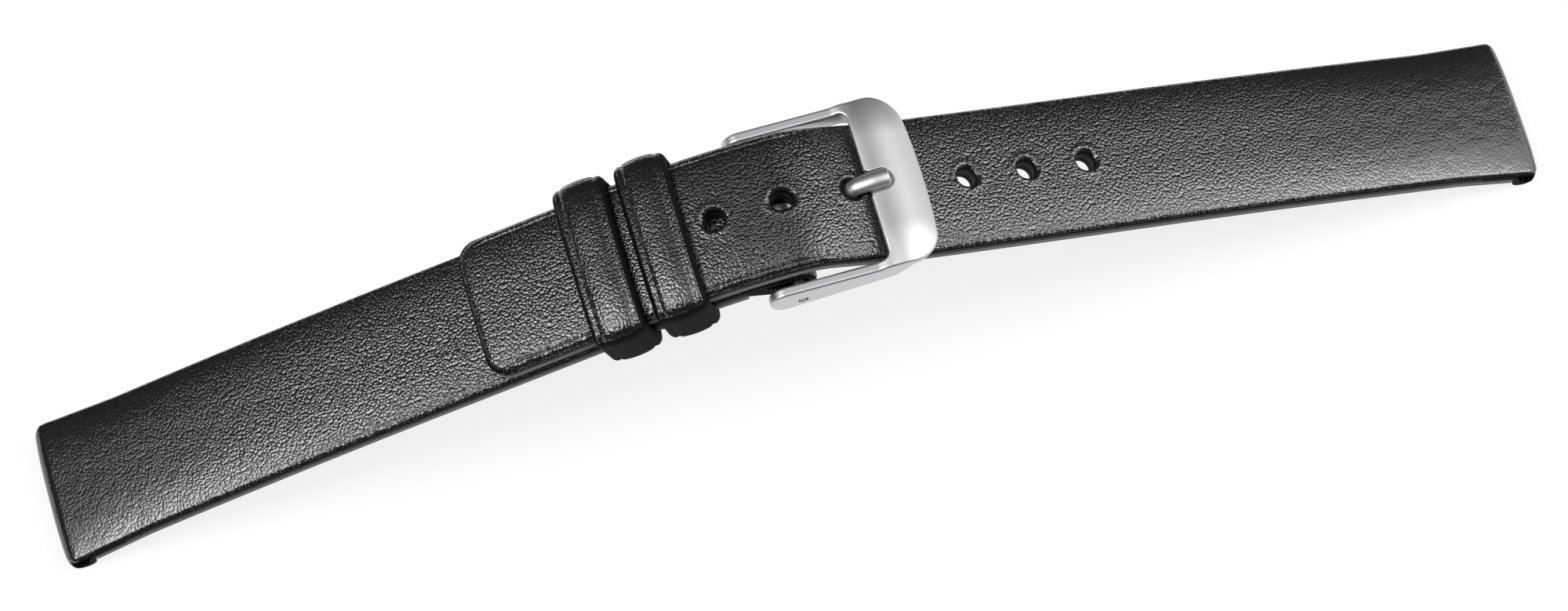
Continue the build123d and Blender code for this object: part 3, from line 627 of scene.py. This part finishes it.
lining_top = -upper_thick - filler_thick
short_filler = plain_layer(
    "short_filler_board", short_guide, (lug_flap + layer_gap, short_length - fold_flap - layer_gap),
    -upper_thick, lining_top, short_half, (), filler_inset,
)
short_lining = plain_layer(
    "short_lining_leather", short_guide, (eye_radius + eye_gap, short_length - fold_flap),
    lining_top, lining_top - lining_thick, short_half, (), 0.0, rims=(0.0, lining_rim),
)
for piece, node, material in (
    (short_filler, "short_filler", leather_board), (short_lining, "short_lining", lining_leather),
):
    piece.data.materials.append(material)
    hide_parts(node)
    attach(piece, "short_strap")

# Keepers
# Each keeper is a strip of the same calf folded over a thin board core, creased along both edges, bent
# into a loop and closed under the strap. One is fixed, and the other slides.

# Each keeper's place along the short strap and its width, and where the inside of its loop lies
keeper_place = {"free": (58.5, 5.3), "fixed": (64.6, 5.2)}
keeper_low = {"free": -2.35, "fixed": -2.26}
keeper_high = long_top + 0.4
keeper_half_width = strap_half + 0.2
keeper_inner_corner = 0.3
keeper_slit = 0.1
keeper_crown = crown_drop

# The strip: leather under and over the core, how high its middle stands, how far its dome falls
# towards the edges, and its rounded edge with the crease inside it
keeper_skin = 0.45
keeper_core = 0.35
strip_high, dome_fall, strip_reach = 1.28, 0.45, 1.3
strip_round, strip_low_round = 0.6, 0.15
strip_crease, strip_crease_at, strip_crease_wide = 0.1, 0.9, 0.2
strip_edge, seam_half = 0.5, 0.1
strip_steps = np.array([
    0, 0.02, 0.06, 0.12, 0.2, 0.3, 0.42, 0.52, 0.6, 0.7, 0.8, 0.88, 0.95, 1.02, 1.1, 1.25, 1.4, 1.7, 2.0,
])
strip_low_steps = np.array([0, 0.03, 0.08, 0.15])
strip_grain = 0.75
core_gap, core_bevel = 0.02, 0.05

# Edge painted: where the loop's spoke rises by less than this share, and the strip's flanks up to this
# depth
painted_slope, painted_flank = 0.7, 0.98


def keeper_path(low):
    """Inside of a keeper's loop, from the slit under the strap round to it again: corner centres run
    along the sides of a rectangle, and a spoke turns a quarter at each corner."""
    middle, half_high = (low + keeper_high) / 2, (keeper_high - low) / 2
    slit = keeper_slit / 2
    w, h = keeper_half_width - keeper_inner_corner, half_high - keeper_inner_corner
    quarter = np.linspace(0, 90, 13)
    runs = [
        (np.linspace(slit, w, 24), np.full(24, -h), np.full(24, -90.0)),
        (np.full(13, w), np.full(13, -h), quarter - 90),
        (np.full(14, w), np.linspace(-h, h, 14), np.zeros(14)),
        (np.full(13, w), np.full(13, h), quarter),
        (np.linspace(w, -w, 48), np.full(48, h), np.full(48, 90.0)),
        (np.full(13, -w), np.full(13, h), quarter + 90),
        (np.full(14, -w), np.linspace(h, -h, 14), np.full(14, 180.0)),
        (np.full(13, -w), np.full(13, -h), quarter + 180),
        (np.linspace(-w, -slit, 24), np.full(24, -h), np.full(24, 270.0)),
    ]
    y, n, angle = (np.concatenate(column) for column in zip(*runs))
    moved = np.abs(np.diff(y)) + np.abs(np.diff(n)) + np.abs(np.diff(angle))
    keep = np.append(True, moved > 1e-6)
    y, n, angle = y[keep], n[keep] + middle, np.radians(angle[keep])
    return y, n, np.cos(angle), np.sin(angle)


def strip_profile(width):
    """Section of the folded strip: outside, a dome with a crease inside each edge; then round the edge,
    to the seam in the middle of the inside, and round the core's space back to the seam."""
    half = width / 2
    inset = np.append(strip_steps[strip_steps < half], half)
    dome = strip_high - dome_fall * (1 - inset / half) ** 2
    groove = strip_crease * np.exp(-(((inset - strip_crease_at) / strip_crease_wide) ** 2))
    outside = dome - rounded(inset, strip_round) - groove
    core = half - strip_edge
    right_a = half - np.concatenate([inset[-2::-1], strip_low_steps])
    right_t = np.concatenate([outside[-2::-1], rounded(strip_low_steps, strip_low_round)])
    seam_a = np.array([seam_half, seam_half, core, core])
    seam_t = np.array([0.0, keeper_skin, keeper_skin, keeper_skin + keeper_core])
    a = np.concatenate([[0.0], right_a, seam_a, -seam_a[::-1], -right_a[::-1]])
    t = np.concatenate([[outside[-1]], right_t, seam_t, seam_t[::-1], right_t[::-1]])
    return a, t


def core_profile(width):
    """Section of the core: a flat bar with small chamfers."""
    half, c = width / 2 - strip_edge - core_gap, core_bevel
    low, high = keeper_skin + core_gap, keeper_skin + keeper_core - core_gap
    a = np.array([-half + c, half - c, half, half, half - c, -half + c, -half, -half])
    t = np.array([high, high, high - c, low + c, low, low, low + c, high - c])
    return a, t


def round_net(shape, first=0):
    """Numbers of the points of a net that closes on itself across, and its four-sided faces: each joins
    a point, the next one across, and the same two in the next row."""
    index = first + np.arange(shape[0] * shape[1]).reshape(shape)
    across = np.roll(index, -1, 1)
    return index, np.stack([index[:-1], across[:-1], across[1:], index[1:]], -1).reshape(-1, 4)


def looped(name, at, low, profile):
    """A profile carried round a keeper's path: the spoke's length is the inner corner radius plus the
    profile's depth, and the profile's width lies along the strap. Above its middle height it sinks by
    the cube of the distance from the strap's middle, as the strap's crown does. Both ends are closed."""
    y, n, spoke_y, spoke_n = keeper_path(low)
    a, t = profile
    reach = keeper_inner_corner + t
    yy = (y[:, None] + spoke_y[:, None] * reach).ravel()
    nn = (n[:, None] + spoke_n[:, None] * reach).ravel()
    sink = keeper_crown * (np.minimum(np.abs(yy), keeper_half_width) / strap_half) ** 3
    nn = nn - sink * np.clip((nn - n.mean()) / (n.max() - n.mean()), 0, 1)
    aa = np.tile(a, y.size)
    x, z, heading = side_curve(*short_guide, np.array(at))
    points = np.stack([
        x + aa * np.cos(heading) - nn * np.sin(heading), yy, z + aa * np.sin(heading) + nn * np.cos(heading),
    ], 1)
    index, walls = round_net((y.size, a.size))
    skin_y, skin_n = y + spoke_y * strip_reach, n + spoke_n * strip_reach
    along = np.append(0, np.cumsum(np.hypot(np.diff(skin_y), np.diff(skin_n))))
    lie = np.stack([aa, np.repeat(along, a.size), np.tile(t, y.size)], 1)
    down = np.repeat(spoke_n < painted_slope, a.size) | (np.tile(t, y.size) < painted_flank)
    painted = np.append(down[walls].all(1), [True, True])
    extra = {"edge": 0 * aa, "grain": 0 * aa + strip_grain}
    return finished(name, points, [walls[:, ::-1], index[:1, ::-1], index[-1:]], lie, extra, painted)


for kind in ("free", "fixed"):
    at, width = keeper_place[kind]
    body = "free_keeper" if kind == "free" else "short_strap"
    skin = looped(kind + "_keeper_leather", at, keeper_low[kind], strip_profile(width))
    core = looped(kind + "_keeper_board", at, keeper_low[kind], core_profile(width))
    for material in (grained_calf, edge_paint):
        skin.data.materials.append(material)
        core.data.materials.append(leather_board)
    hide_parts(kind + "_keeper")
    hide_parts(kind + "_keeper_core")
    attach(skin, body)
    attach(core, body)

# Buckle frame
# One piece of pressed stainless steel: two flat arms and a broad curved bar with a notch for the
# tongue. Its edges are tumbled round and the whole is satin polished.

# Satin polish: reflections stay soft, and the finest lines, 0.05 mm apart, run along the strap
satin_steel, tree, shader = finish("satin steel")
where = add(tree, "ShaderNodeTexCoord").outputs["Object"]
brushed = add(tree, "ShaderNodeMapping", {"Vector": where, "Scale": (600.0, 20000.0, 600.0)}).outputs[0]
brush = add(tree, "ShaderNodeTexNoise", {"Vector": brushed, "Scale": 1.0, "Detail": 2.0}).outputs["Fac"]
shader.inputs["Base Color"].default_value = colour("#eaeaec")
shader.inputs["Metallic"].default_value = 1.0
shine = add(
    tree, "ShaderNodeMapRange",
    {"Value": brush, "From Min": 0.3, "From Max": 0.7, "To Min": 0.4, "To Max": 0.41},
).outputs[0]
tree.links.new(shine, shader.inputs["Roughness"])

# In side view u runs from the spring bar along the arms and w square to them. The bar is an arc
frame_tilt = np.radians(10.0)
arc_u, arc_w, arc_radius = 9.602, -4.2239, 5.2213
bar_thick = 1.2
inner_edge = 8.9
front_edge, front_bow = 14.2, 0.5
frame_half, window_half = 8.7, 7.65
outer_corner, window_corner = 2.8, 0.8
arm_round, bar_round = 0.3, 0.34
bar_level_half, bar_end_fall = 4.6, 0.4

# The arms: a round tail, and from it an upper and a lower line, each with the u where it starts, its
# height there and its fall per length. The lower line rises again under the bar's ends
tail_u, tail_w, tail_radius = -1.45, 0.5, 1.65
arm_top_u, arm_top_w, arm_top_fall = -1.186, 2.129, 0.1643
arm_low_u, arm_low_w, arm_low_fall = -1.545, -1.147, 0.0577
under_bar_rise = 0.74
join_soft, join_sink = 0.02, 0.008

notch_end, notch_half, notch_deep = 10.4, 1.05, 0.6
notch_flare, notch_flare_run = 0.3, 0.7
pivot_hole_radius = 0.5


def in_frame(u, w, y):
    """A point of the buckle: u along its arms and w square to them, turned up by the tilt and moved to
    the spring bar's axis."""
    x = pivot[0] + u * np.cos(frame_tilt) - w * np.sin(frame_tilt)
    return np.stack([x, y + 0 * x, pivot[1] + u * np.sin(frame_tilt) + w * np.cos(frame_tilt)], -1)


def side_lines(u, y):
    """Upper and lower side line of the frame with their inward normals. At the tail both follow one
    circle. Above, the arm's slope a and the bar's circle b join as (a + b + sqrt((a - b)^2 + e)) / 2.
    Below, the arm's slope runs on under the bar's two ends, and the bar is a plate of even thickness."""
    along = np.linspace(-3.0, 14.4, 3000)
    slope = arm_top_w - arm_top_fall * (along - arm_top_u)
    arc = arc_w + np.sqrt(np.maximum(arc_radius**2 - (along - arc_u) ** 2, 0.0))
    line = np.where(along < arc_u, (slope + arc + np.sqrt((slope - arc) ** 2 + join_soft)) / 2, arc)
    line = line - join_sink * smooth(along, 8.6, 9.6) * (along < arc_u)
    round_tail = np.sqrt(np.maximum(tail_radius**2 - (np.minimum(u, arm_top_u) - tail_u) ** 2, 0))
    round_low = np.sqrt(np.maximum(tail_radius**2 - (np.minimum(u, arm_low_u) - tail_u) ** 2, 0))
    on_top, on_low = u < arm_top_u, u < arm_low_u
    rise = np.interp(u, along, np.gradient(line, along))
    top = np.where(on_top, tail_w + round_tail, np.interp(u, along, line))
    size = np.sqrt(1 + rise**2)
    top_in = [np.where(on_top, (tail_u - u) / tail_radius, rise / size),
              np.where(on_top, -round_tail / tail_radius, -1 / size)]
    arm = arm_low_w - arm_low_fall * (u - arm_low_u) + under_bar_rise * np.maximum(u - inner_edge, 0)
    arm = np.where(on_low, tail_w - round_low, arm)
    plate_u, plate_w = u + top_in[0] * bar_thick, top + top_in[1] * bar_thick
    below = np.where(u < inner_edge - window_corner, 1.0, smooth(np.abs(y), 6.9, 7.6) * (arm < plate_w))
    low_u, low_w = plate_u + (u - plate_u) * below, plate_w + (arm - plate_w) * below
    low_in = [np.where(on_low, (tail_u - u) / tail_radius, -top_in[0]),
              np.where(on_low, round_low / tail_radius, -top_in[1])]
    return (u, top), top_in, (low_u, low_w), low_in


# Outlines of the near half in pairs of points, the window's and the frame's: the arm, then a fan
# round both corners, then the bar
arm_u = np.concatenate([
    tail_u - tail_radius * np.sin(np.radians(np.linspace(90, 0, 24)))[:-1],
    np.linspace(tail_u, inner_edge - window_corner, 48),
])
fan = np.linspace(0, 1, 27)[1:]
fan_end = -6.115
notch_from = -1.6
inner_run = fan * (window_corner * np.pi / 2 + window_half - window_corner + fan_end)
inner_turn = np.minimum(inner_run / window_corner, np.pi / 2)
outer_turn_end = np.radians(85.6)
corner_u = front_edge - front_bow * (fan_end / frame_half) ** 2 - outer_corner * np.sin(outer_turn_end)
straight = corner_u - inner_edge + window_corner
outer_run = fan * (straight + outer_corner * outer_turn_end)
outer_turn = np.maximum(outer_run - straight, 0) / outer_corner
bar_y = np.concatenate([np.linspace(fan_end, notch_from, 20)[1:], np.linspace(notch_from, 0, 33)[1:]])
inner_line = np.stack([
    np.concatenate([
        arm_u, inner_edge - window_corner + window_corner * np.sin(inner_turn), inner_edge + 0 * bar_y,
    ]),
    np.concatenate([
        -window_half + 0 * arm_u,
        window_corner - window_half - window_corner * np.cos(inner_turn)
        + np.maximum(inner_run - window_corner * np.pi / 2, 0),
        bar_y,
    ]),
])
outer_line = np.stack([
    np.concatenate([
        arm_u,
        inner_edge - window_corner + np.minimum(outer_run, straight) + outer_corner * np.sin(outer_turn),
        front_edge - front_bow * (bar_y / frame_half) ** 2,
    ]),
    np.concatenate([
        -frame_half + 0 * arm_u, outer_corner - frame_half - outer_corner * np.cos(outer_turn), bar_y,
    ]),
])
inner_line = np.hstack([inner_line, inner_line[:, -2::-1] * [[1], [-1]]])
outer_line = np.hstack([outer_line, outer_line[:, -2::-1] * [[1], [-1]]])

# Stations from the window's edge to the outer edge, close at both edges and where the notch is
steps = np.concatenate([
    [0, 0.012, 0.035, 0.07, 0.12, 0.18, 0.25], np.arange(0.32, 3.3, 0.06), np.arange(3.4, 5.2, 0.2),
    [5.35, 5.46, 5.55, 5.63, 5.7, 5.75, 5.785, 5.8],
])
steps = steps / steps[-1]
inner_s, outer_s = (
    np.where(line[0] < arc_u, line[0],
             arc_u + arc_radius * np.arcsin(np.clip((line[0] - arc_u) / arc_radius, 0, 1)))
    for line in (inner_line, outer_line)
)
run = inner_s[:, None] + (outer_s - inner_s)[:, None] * steps
y = inner_line[1][:, None] + (outer_line[1] - inner_line[1])[:, None] * steps
u = np.where(run < arc_u, run, arc_u + arc_radius * np.sin((run - arc_u) / arc_radius))
wide = np.hypot(outer_s - inner_s, outer_line[1] - inner_line[1])[:, None]
on_bar = smooth(u, 8.0, 10.0)
edge_round = arm_round + (bar_round - arm_round) * on_bar
drop = rounded(wide * steps, arm_round) + rounded(wide * (1 - steps), edge_round)
(top_u, top_w), top_in, (low_u, low_w), low_in = side_lines(u, y)
flare = notch_flare * (1 - smooth(u, inner_edge, inner_edge + notch_flare_run)) ** 2
into_notch = np.where(
    u < notch_end, np.abs(y) - notch_half - flare, np.hypot(u - notch_end, y) - notch_half
)
past_level = np.maximum(np.abs(y) - bar_level_half, 0) / (frame_half - bar_level_half)
notch_drop = notch_deep * (1 - smooth(into_notch, -0.08, 0.12))
top_drop = drop + notch_drop + bar_end_fall * past_level**2 * on_bar
top = in_frame(top_u + top_in[0] * top_drop, top_w + top_in[1] * top_drop, y)
low = in_frame(low_u + low_in[0] * drop, low_w + low_in[1] * drop, y)
depth = np.linspace(0, 1, 8)[1:-1, None]
outer_wall = top[:, -1:] + (low[:, -1:] - top[:, -1:]) * depth
inner_wall = low[:, :1] + (top[:, :1] - low[:, :1]) * depth
net = np.concatenate([top, outer_wall, low[:, ::-1], inner_wall], 1)
index, walls = round_net(net.shape[:2])
turned_over = [0, 3, 2, 1]
walls = walls[:, turned_over]


def steel_piece(name, points, faces, node, metal):
    """A steel mesh object from points in millimetres: points closer than 0.1 micron are merged, and its
    faces are turned outwards."""
    made = bpy.data.meshes.new(name)
    made.from_pydata((points * mm).tolist(), [], faces)
    shell = bmesh.new()
    shell.from_mesh(made)
    bmesh.ops.remove_doubles(shell, verts=shell.verts, dist=1e-7)
    bmesh.ops.recalc_face_normals(shell, faces=shell.faces)
    shell.to_mesh(made)
    shell.free()
    made.shade_smooth()
    made.set_sharp_from_angle(angle=sharp_angle)
    made.materials.append(metal)
    piece = bpy.data.objects.new(name, made)
    bpy.context.scene.collection.objects.link(piece)
    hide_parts(node)
    return piece


buckle = steel_piece(
    "buckle_frame_pressing", net.reshape(-1, 3), walls.tolist(), "buckle_frame", satin_steel
)
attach(buckle, "buckle")

# The two pivot holes are drilled through both arms at once
drill_sides, drill_half = 32, 10.0
turn = np.linspace(0, 2 * np.pi, drill_sides + 1)[:-1]
disc_u, disc_w = pivot_hole_radius * np.cos(turn), pivot_hole_radius * np.sin(turn)
drill_ends = np.vstack([in_frame(disc_u, disc_w, side * drill_half) for side in (-1, 1)]) * mm
near_end, far_end = np.arange(2 * drill_sides).reshape(2, drill_sides)
next_near, next_far = np.roll(near_end, -1), np.roll(far_end, -1)
drill_walls = np.stack([next_near, near_end, far_end, next_far], 1).tolist()
drill = bpy.data.meshes.new("drill")
drill.from_pydata(drill_ends.tolist(), [], [near_end.tolist(), far_end[::-1].tolist()] + drill_walls)
drill_bit = bpy.data.objects.new("drill", drill)
bpy.context.scene.collection.objects.link(drill_bit)
cut = buckle.modifiers.new("pivot holes", "BOOLEAN")
cut.operation = "DIFFERENCE"
cut.solver = "EXACT"
cut.object = drill_bit
bpy.context.view_layer.update()
drilled = bpy.data.meshes.new_from_object(buckle.evaluated_get(bpy.context.evaluated_depsgraph_get()))
buckle.modifiers.clear()
bpy.data.objects.remove(drill_bit)
drilled.set_sharp_from_angle(angle=sharp_angle)
buckle.data = drilled

# Buckle tongue
# A stout steel pin bent from a ring round the spring bar: under the strap, up through one hole, over a
# rounded knee and along the bar's notch to a square-cut end.

ring_wide, ring_outer, ring_inner, ring_bevel = 1.7, 1.45, 0.8, 0.2

# The pin's middle line in the frame's side view: from inside the ring to the elbow, up to the knee,
# then along an arc over the bar's to the tip
shank_from, shank_gap = 1.1, 0.2
elbow, knee = np.array([5.6637, -1.6798]), np.array([7.5349, 1.0724])
elbow_bend, knee_bend = 1.2, 1.3
lie_radius = arc_radius + 0.075
tip_u = 11.05

# The pin is oval, slim in the hole, stouter where it lies on the bar and stoutest on the knee
pin_half_wide, pin_half_high = 0.85, 0.625
pin_slim, pin_stouter, knee_stouter, knee_run = 0.9, 0.2, 0.06, 0.9
pin_end_share, pin_end_bevel = 0.86, 0.1


def bent(corner, before, after, radius):
    """A corner rounded by a circle that touches both runs, the radius times tan(turn/2) away from it."""
    turn = np.arctan2(before[0] * after[1] - before[1] * after[0], before @ after)
    left = np.sign(turn) * np.array([-before[1], before[0]])
    centre = corner - before * radius * np.tan(abs(turn) / 2) + left * radius
    way = np.linspace(0, turn, 14)[:, None]
    return centre - left * radius * np.cos(way) + np.sign(turn) * before * radius * np.sin(way)


level = np.array([1.0, 0.0])
shank = elbow / np.hypot(*elbow)
rise = (knee - elbow) / np.hypot(*(knee - elbow))
at_elbow, at_knee = bent(elbow, shank, rise, elbow_bend), bent(knee, rise, level, knee_bend)
lie_turn = np.linspace(0, np.arcsin((tip_u - arc_u) / lie_radius), 12)
line = np.vstack([
    np.linspace(shank_from, np.hypot(*at_elbow[0]) - shank_gap, 8)[:, None] * shank,
    at_elbow,
    (at_elbow[-1:] + at_knee[:1]) / 2,
    at_knee,
    np.stack([arc_u + lie_radius * np.sin(lie_turn), arc_w + lie_radius * np.cos(lie_turn)], 1),
])
run = np.append(0, np.cumsum(np.hypot(*np.diff(line, axis=0).T)))
way = np.gradient(line, run, axis=0)
way = way / np.hypot(*way.T)[:, None]

# It grows from the knee's bend on, upwards only, so that its underside stays on the bar
out_of_hole, on_knee, past_knee = run[28], run[34], run[37]
girth = pin_slim + pin_stouter * smooth(run, out_of_hole, past_knee)
girth = girth + knee_stouter * np.exp(-(((run - on_knee) / knee_run) ** 2))
line = line + pin_half_high * np.maximum(girth - 1, 0)[:, None] * way[:, ::-1] * [-1, 1]

# Both ends are bevelled: an extra, narrower station stands at each
girth[[0, -1]] = girth[[0, -1]] * pin_end_share
doubled = np.append(np.append([0], np.arange(run.size)), [run.size - 1])
line, way, girth = line[doubled], way[doubled], girth[doubled]
line[1] = line[1] + pin_end_bevel * way[1]
line[-2] = line[-2] - pin_end_bevel * way[-2]
girth[1], girth[-2] = girth[2], girth[-3]
turn = np.linspace(0, 2 * np.pi, 41)[:-1]
side, height = pin_half_wide * np.cos(turn), pin_half_high * np.sin(turn)
pin_u = line[:, :1] - way[:, 1:] * height * girth[:, None]
pin_w = line[:, 1:] + way[:, :1] * height * girth[:, None]
pin = in_frame(pin_u, pin_w, side * girth[:, None])
index, walls = round_net(pin.shape[:2])
faces = walls.tolist() + index[[0, -1]].tolist()

# The ring's section is a rounded rectangle, spun about the spring bar's axis
corner = np.radians(np.linspace(0, 90, 6))
ring_middle, ring_half = (ring_outer + ring_inner) / 2, (ring_outer - ring_inner) / 2
section = np.concatenate([
    np.stack([
        ring_middle + outwards * (ring_half - ring_bevel) + ring_bevel * np.cos(corner + start),
        sideways * (ring_wide / 2 - ring_bevel) + ring_bevel * np.sin(corner + start),
    ], 1)
    for outwards, sideways, start in (
        (1, 1, 0), (-1, 1, np.pi / 2), (-1, -1, np.pi), (1, -1, 1.5 * np.pi),
    )
])
spin = np.linspace(0, 2 * np.pi, 61)[:-1, None]
ring = in_frame(section[:, 0] * np.cos(spin), section[:, 0] * np.sin(spin), section[:, 1] + 0 * spin)
index, walls = round_net(ring.shape[:2], pin[..., 0].size)
last_row = np.stack([index[-1], np.roll(index[-1], -1), np.roll(index[0], -1), index[0]], 1)
faces += np.vstack([walls, last_row])[:, turned_over].tolist()
tongue = steel_piece(
    "buckle_tongue_pin", np.vstack([pin.reshape(-1, 3), ring.reshape(-1, 3)]), faces, "buckle_tongue",
    satin_steel,
)
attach(tongue, "tongue")

# Spring bar
# A thin drawn steel tube with a sprung plunger at each end. It runs through the short strap's fold and
# the tongue's ring, and its plungers' tips sit in the arms' holes.

bar_steel, tree, shader = finish("bar steel")
shader.inputs["Base Color"].default_value = colour("#b4b5b8")
shader.inputs["Metallic"].default_value = 1.0
where = add(tree, "ShaderNodeTexCoord").outputs["Object"]
# Turning marks about 0.1 mm apart across the tube
turned = add(tree, "ShaderNodeMapping", {"Vector": where, "Scale": (500.0, 9000.0, 500.0)}).outputs[0]
marks = add(tree, "ShaderNodeTexNoise", {"Vector": turned, "Scale": 1.0, "Detail": 1.0}).outputs["Fac"]
shine = add(
    tree, "ShaderNodeMapRange",
    {"Value": marks, "From Min": 0.3, "From Max": 0.7, "To Min": 0.18, "To Max": 0.36},
).outputs[0]
tree.links.new(shine, shader.inputs["Roughness"])
for node in ("spring_bar_tube", "spring_bar_plunger_near", "spring_bar_plunger_far"):
    bar_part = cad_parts[node]
    bar_part.data.materials.clear()
    bar_part.data.materials.append(bar_steel)

# Spring bar's spring
# A coil of hard steel wire inside the tube, which pushes the two plungers apart. It is modelled in two
# halves that meet in the middle.

# Radii of the wire and of the coil, half of its length and its turns
coil_wire, coil_radius, coil_half, coil_turns = 0.075, 0.46, 5.37, 12
turn = np.linspace(0, 2 * np.pi * coil_turns, coil_turns * 20 + 1)[:, None]
round_wire = np.linspace(0, 2 * np.pi, 9)[:-1]
reach = coil_radius + coil_wire * np.cos(round_wire)
index, walls = round_net((turn.size, round_wire.size))
faces = walls.tolist() + index[[0, -1]].tolist()
for side, body in ((-1, "plunger_near"), (1, "plunger_far")):
    along = (coil_half - 2 * coil_wire) * turn / turn[-1] + coil_wire * (1 + np.sin(round_wire))
    coil = np.stack([
        pivot[0] + reach * np.cos(turn), side * along, pivot[1] + reach * np.sin(turn) * side,
    ], -1)
    name = body.replace("plunger", "spring_coil")
    half_coil = steel_piece(name, coil.reshape(-1, 3), faces, "spring_bar_spring", bar_steel)
    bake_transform(half_coil)

# Staples
# Bright plated steel wire, bent and pressed through the leather. One staple ties the fixed keeper to the
# strap, and the other closes the free keeper's ends.

staple_wire, tree, shader = finish("staple wire")
shader.inputs["Base Color"].default_value = colour("#bfc0c2")
shader.inputs["Metallic"].default_value = 1.0
where = add(tree, "ShaderNodeTexCoord").outputs["Object"]
# Drawing marks about 0.05 mm wide
drawn = add(tree, "ShaderNodeTexNoise", {"Vector": where, "Scale": 20000.0, "Detail": 1.0}).outputs["Fac"]
shine = add(
    tree, "ShaderNodeMapRange",
    {"Value": drawn, "From Min": 0.3, "From Max": 0.7, "To Min": 0.22, "To Max": 0.4},
).outputs[0]
tree.links.new(shine, shader.inputs["Roughness"])
for node in ("fixed_keeper_staple", "free_keeper_staple"):
    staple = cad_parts[node]
    staple.data.materials.clear()
    staple.data.materials.append(staple_wire)

# Studio
# A table that the camera sees as paper white and the steel as pale grey, and that keeps its shadow. Six
# plain rectangular lamps stand in an arc over the strap, two of them small and bright, in a dim world.

table_half = 3.0
seen_white, mirrored_share = 0.82, 0.62
corners = [(x * table_half, y * table_half, 0.0) for x, y in ((-1, -1), (1, -1), (1, 1), (-1, 1))]
table = bpy.data.meshes.new("table")
table.from_pydata(corners, [], [(0, 1, 2, 3)])
floor = bpy.data.objects.new("table", table)
bpy.context.scene.collection.objects.link(floor)
white_table, tree, shader = finish("white table")
shader.inputs["Base Color"].default_value = colour("#909090")
shader.inputs["Roughness"].default_value = 0.9
shader.inputs["Specular IOR Level"].default_value = 0.0
shader.inputs["Emission Color"].default_value = (1, 1, 1, 1)
ray = add(tree, "ShaderNodeLightPath")
camera_ray, glossy_ray, through_ray = (
    ray.outputs["Is " + kind + " Ray"] for kind in ("Camera", "Glossy", "Transmission")
)
mirrored = add(tree, "ShaderNodeMath", {0: glossy_ray, 1: mirrored_share}, operation="MULTIPLY").outputs[0]
seen = add(tree, "ShaderNodeMath", {0: camera_ray, 1: mirrored}, operation="MAXIMUM").outputs[0]
seen = add(tree, "ShaderNodeMath", {0: seen, 1: through_ray}, operation="MAXIMUM").outputs[0]
glow = add(tree, "ShaderNodeMath", {0: seen, 1: seen_white}, operation="MULTIPLY").outputs[0]
tree.links.new(glow, shader.inputs["Emission Strength"])
table.materials.append(white_table)

world = bpy.data.worlds.new("studio")
bpy.context.scene.world = world
world.use_nodes = True
sky = world.node_tree.nodes["Background"]
sky.inputs["Color"].default_value = (1, 1, 1, 1)
sky.inputs["Strength"].default_value = 0.06

# Each lamp's lean from overhead in degrees, how far away it is, its sizes and its place across, in
# metres, and its power in watts. The small ones stand in front of the softboxes
for name, lean, away, wide, deep, across, power in (
    ("left softbox", -34, 1.0, 0.6, 0.8, -0.05, 2.2),
    ("left lamp", -36, 0.95, 0.4, 0.3, -0.06, 2.0),
    ("top softbox", -2, 1.0, 0.5, 0.8, -0.05, 0.6),
    ("right softbox", 35, 1.0, 0.96, 0.8, -0.05, 3.5),
    ("right lamp", 45, 0.95, 0.4, 0.3, -0.06, 1.5),
    ("low softbox", 74, 1.0, 0.4, 0.8, -0.05, 1.6),
):
    lamp = bpy.data.lights.new(name, "AREA")
    lamp.shape = "RECTANGLE"
    lamp.size = wide
    lamp.size_y = deep
    lamp.energy = power
    holder = bpy.data.objects.new(name, lamp)
    holder.location = (away * np.sin(np.radians(lean)), across, away * np.cos(np.radians(lean)))
    holder.rotation_euler = (0, np.radians(lean), 0)
    bpy.context.scene.collection.objects.link(holder)

# Camera
# 600 mm away on a 141.6 mm lens, above the near side and a little to the left. It was fitted to the
# photograph's outline, so the strap runs up towards the right.

camera_place = Vector((-0.06408, -0.21601, 0.55725))
camera_goal = Vector((-0.00088, 0.000047, 0.001083))
ahead = (camera_goal - camera_place).normalized()
right = Vector((0.96126, -0.27564, 0.00215))
right = (right - ahead * right.dot(ahead)).normalized()
up = right.cross(ahead)
turn = Matrix((right, up, -ahead)).transposed()
lens = bpy.data.cameras.new("camera")
lens.lens = 141.596
lens.sensor_width = 36.0
lens.clip_start = 0.01
camera = bpy.data.objects.new("camera", lens)
camera.matrix_world = Matrix.Translation(camera_place) @ turn.to_4x4()
bpy.context.scene.collection.objects.link(camera)
bpy.context.scene.camera = camera
bpy.context.scene.view_settings.view_transform = "Standard"
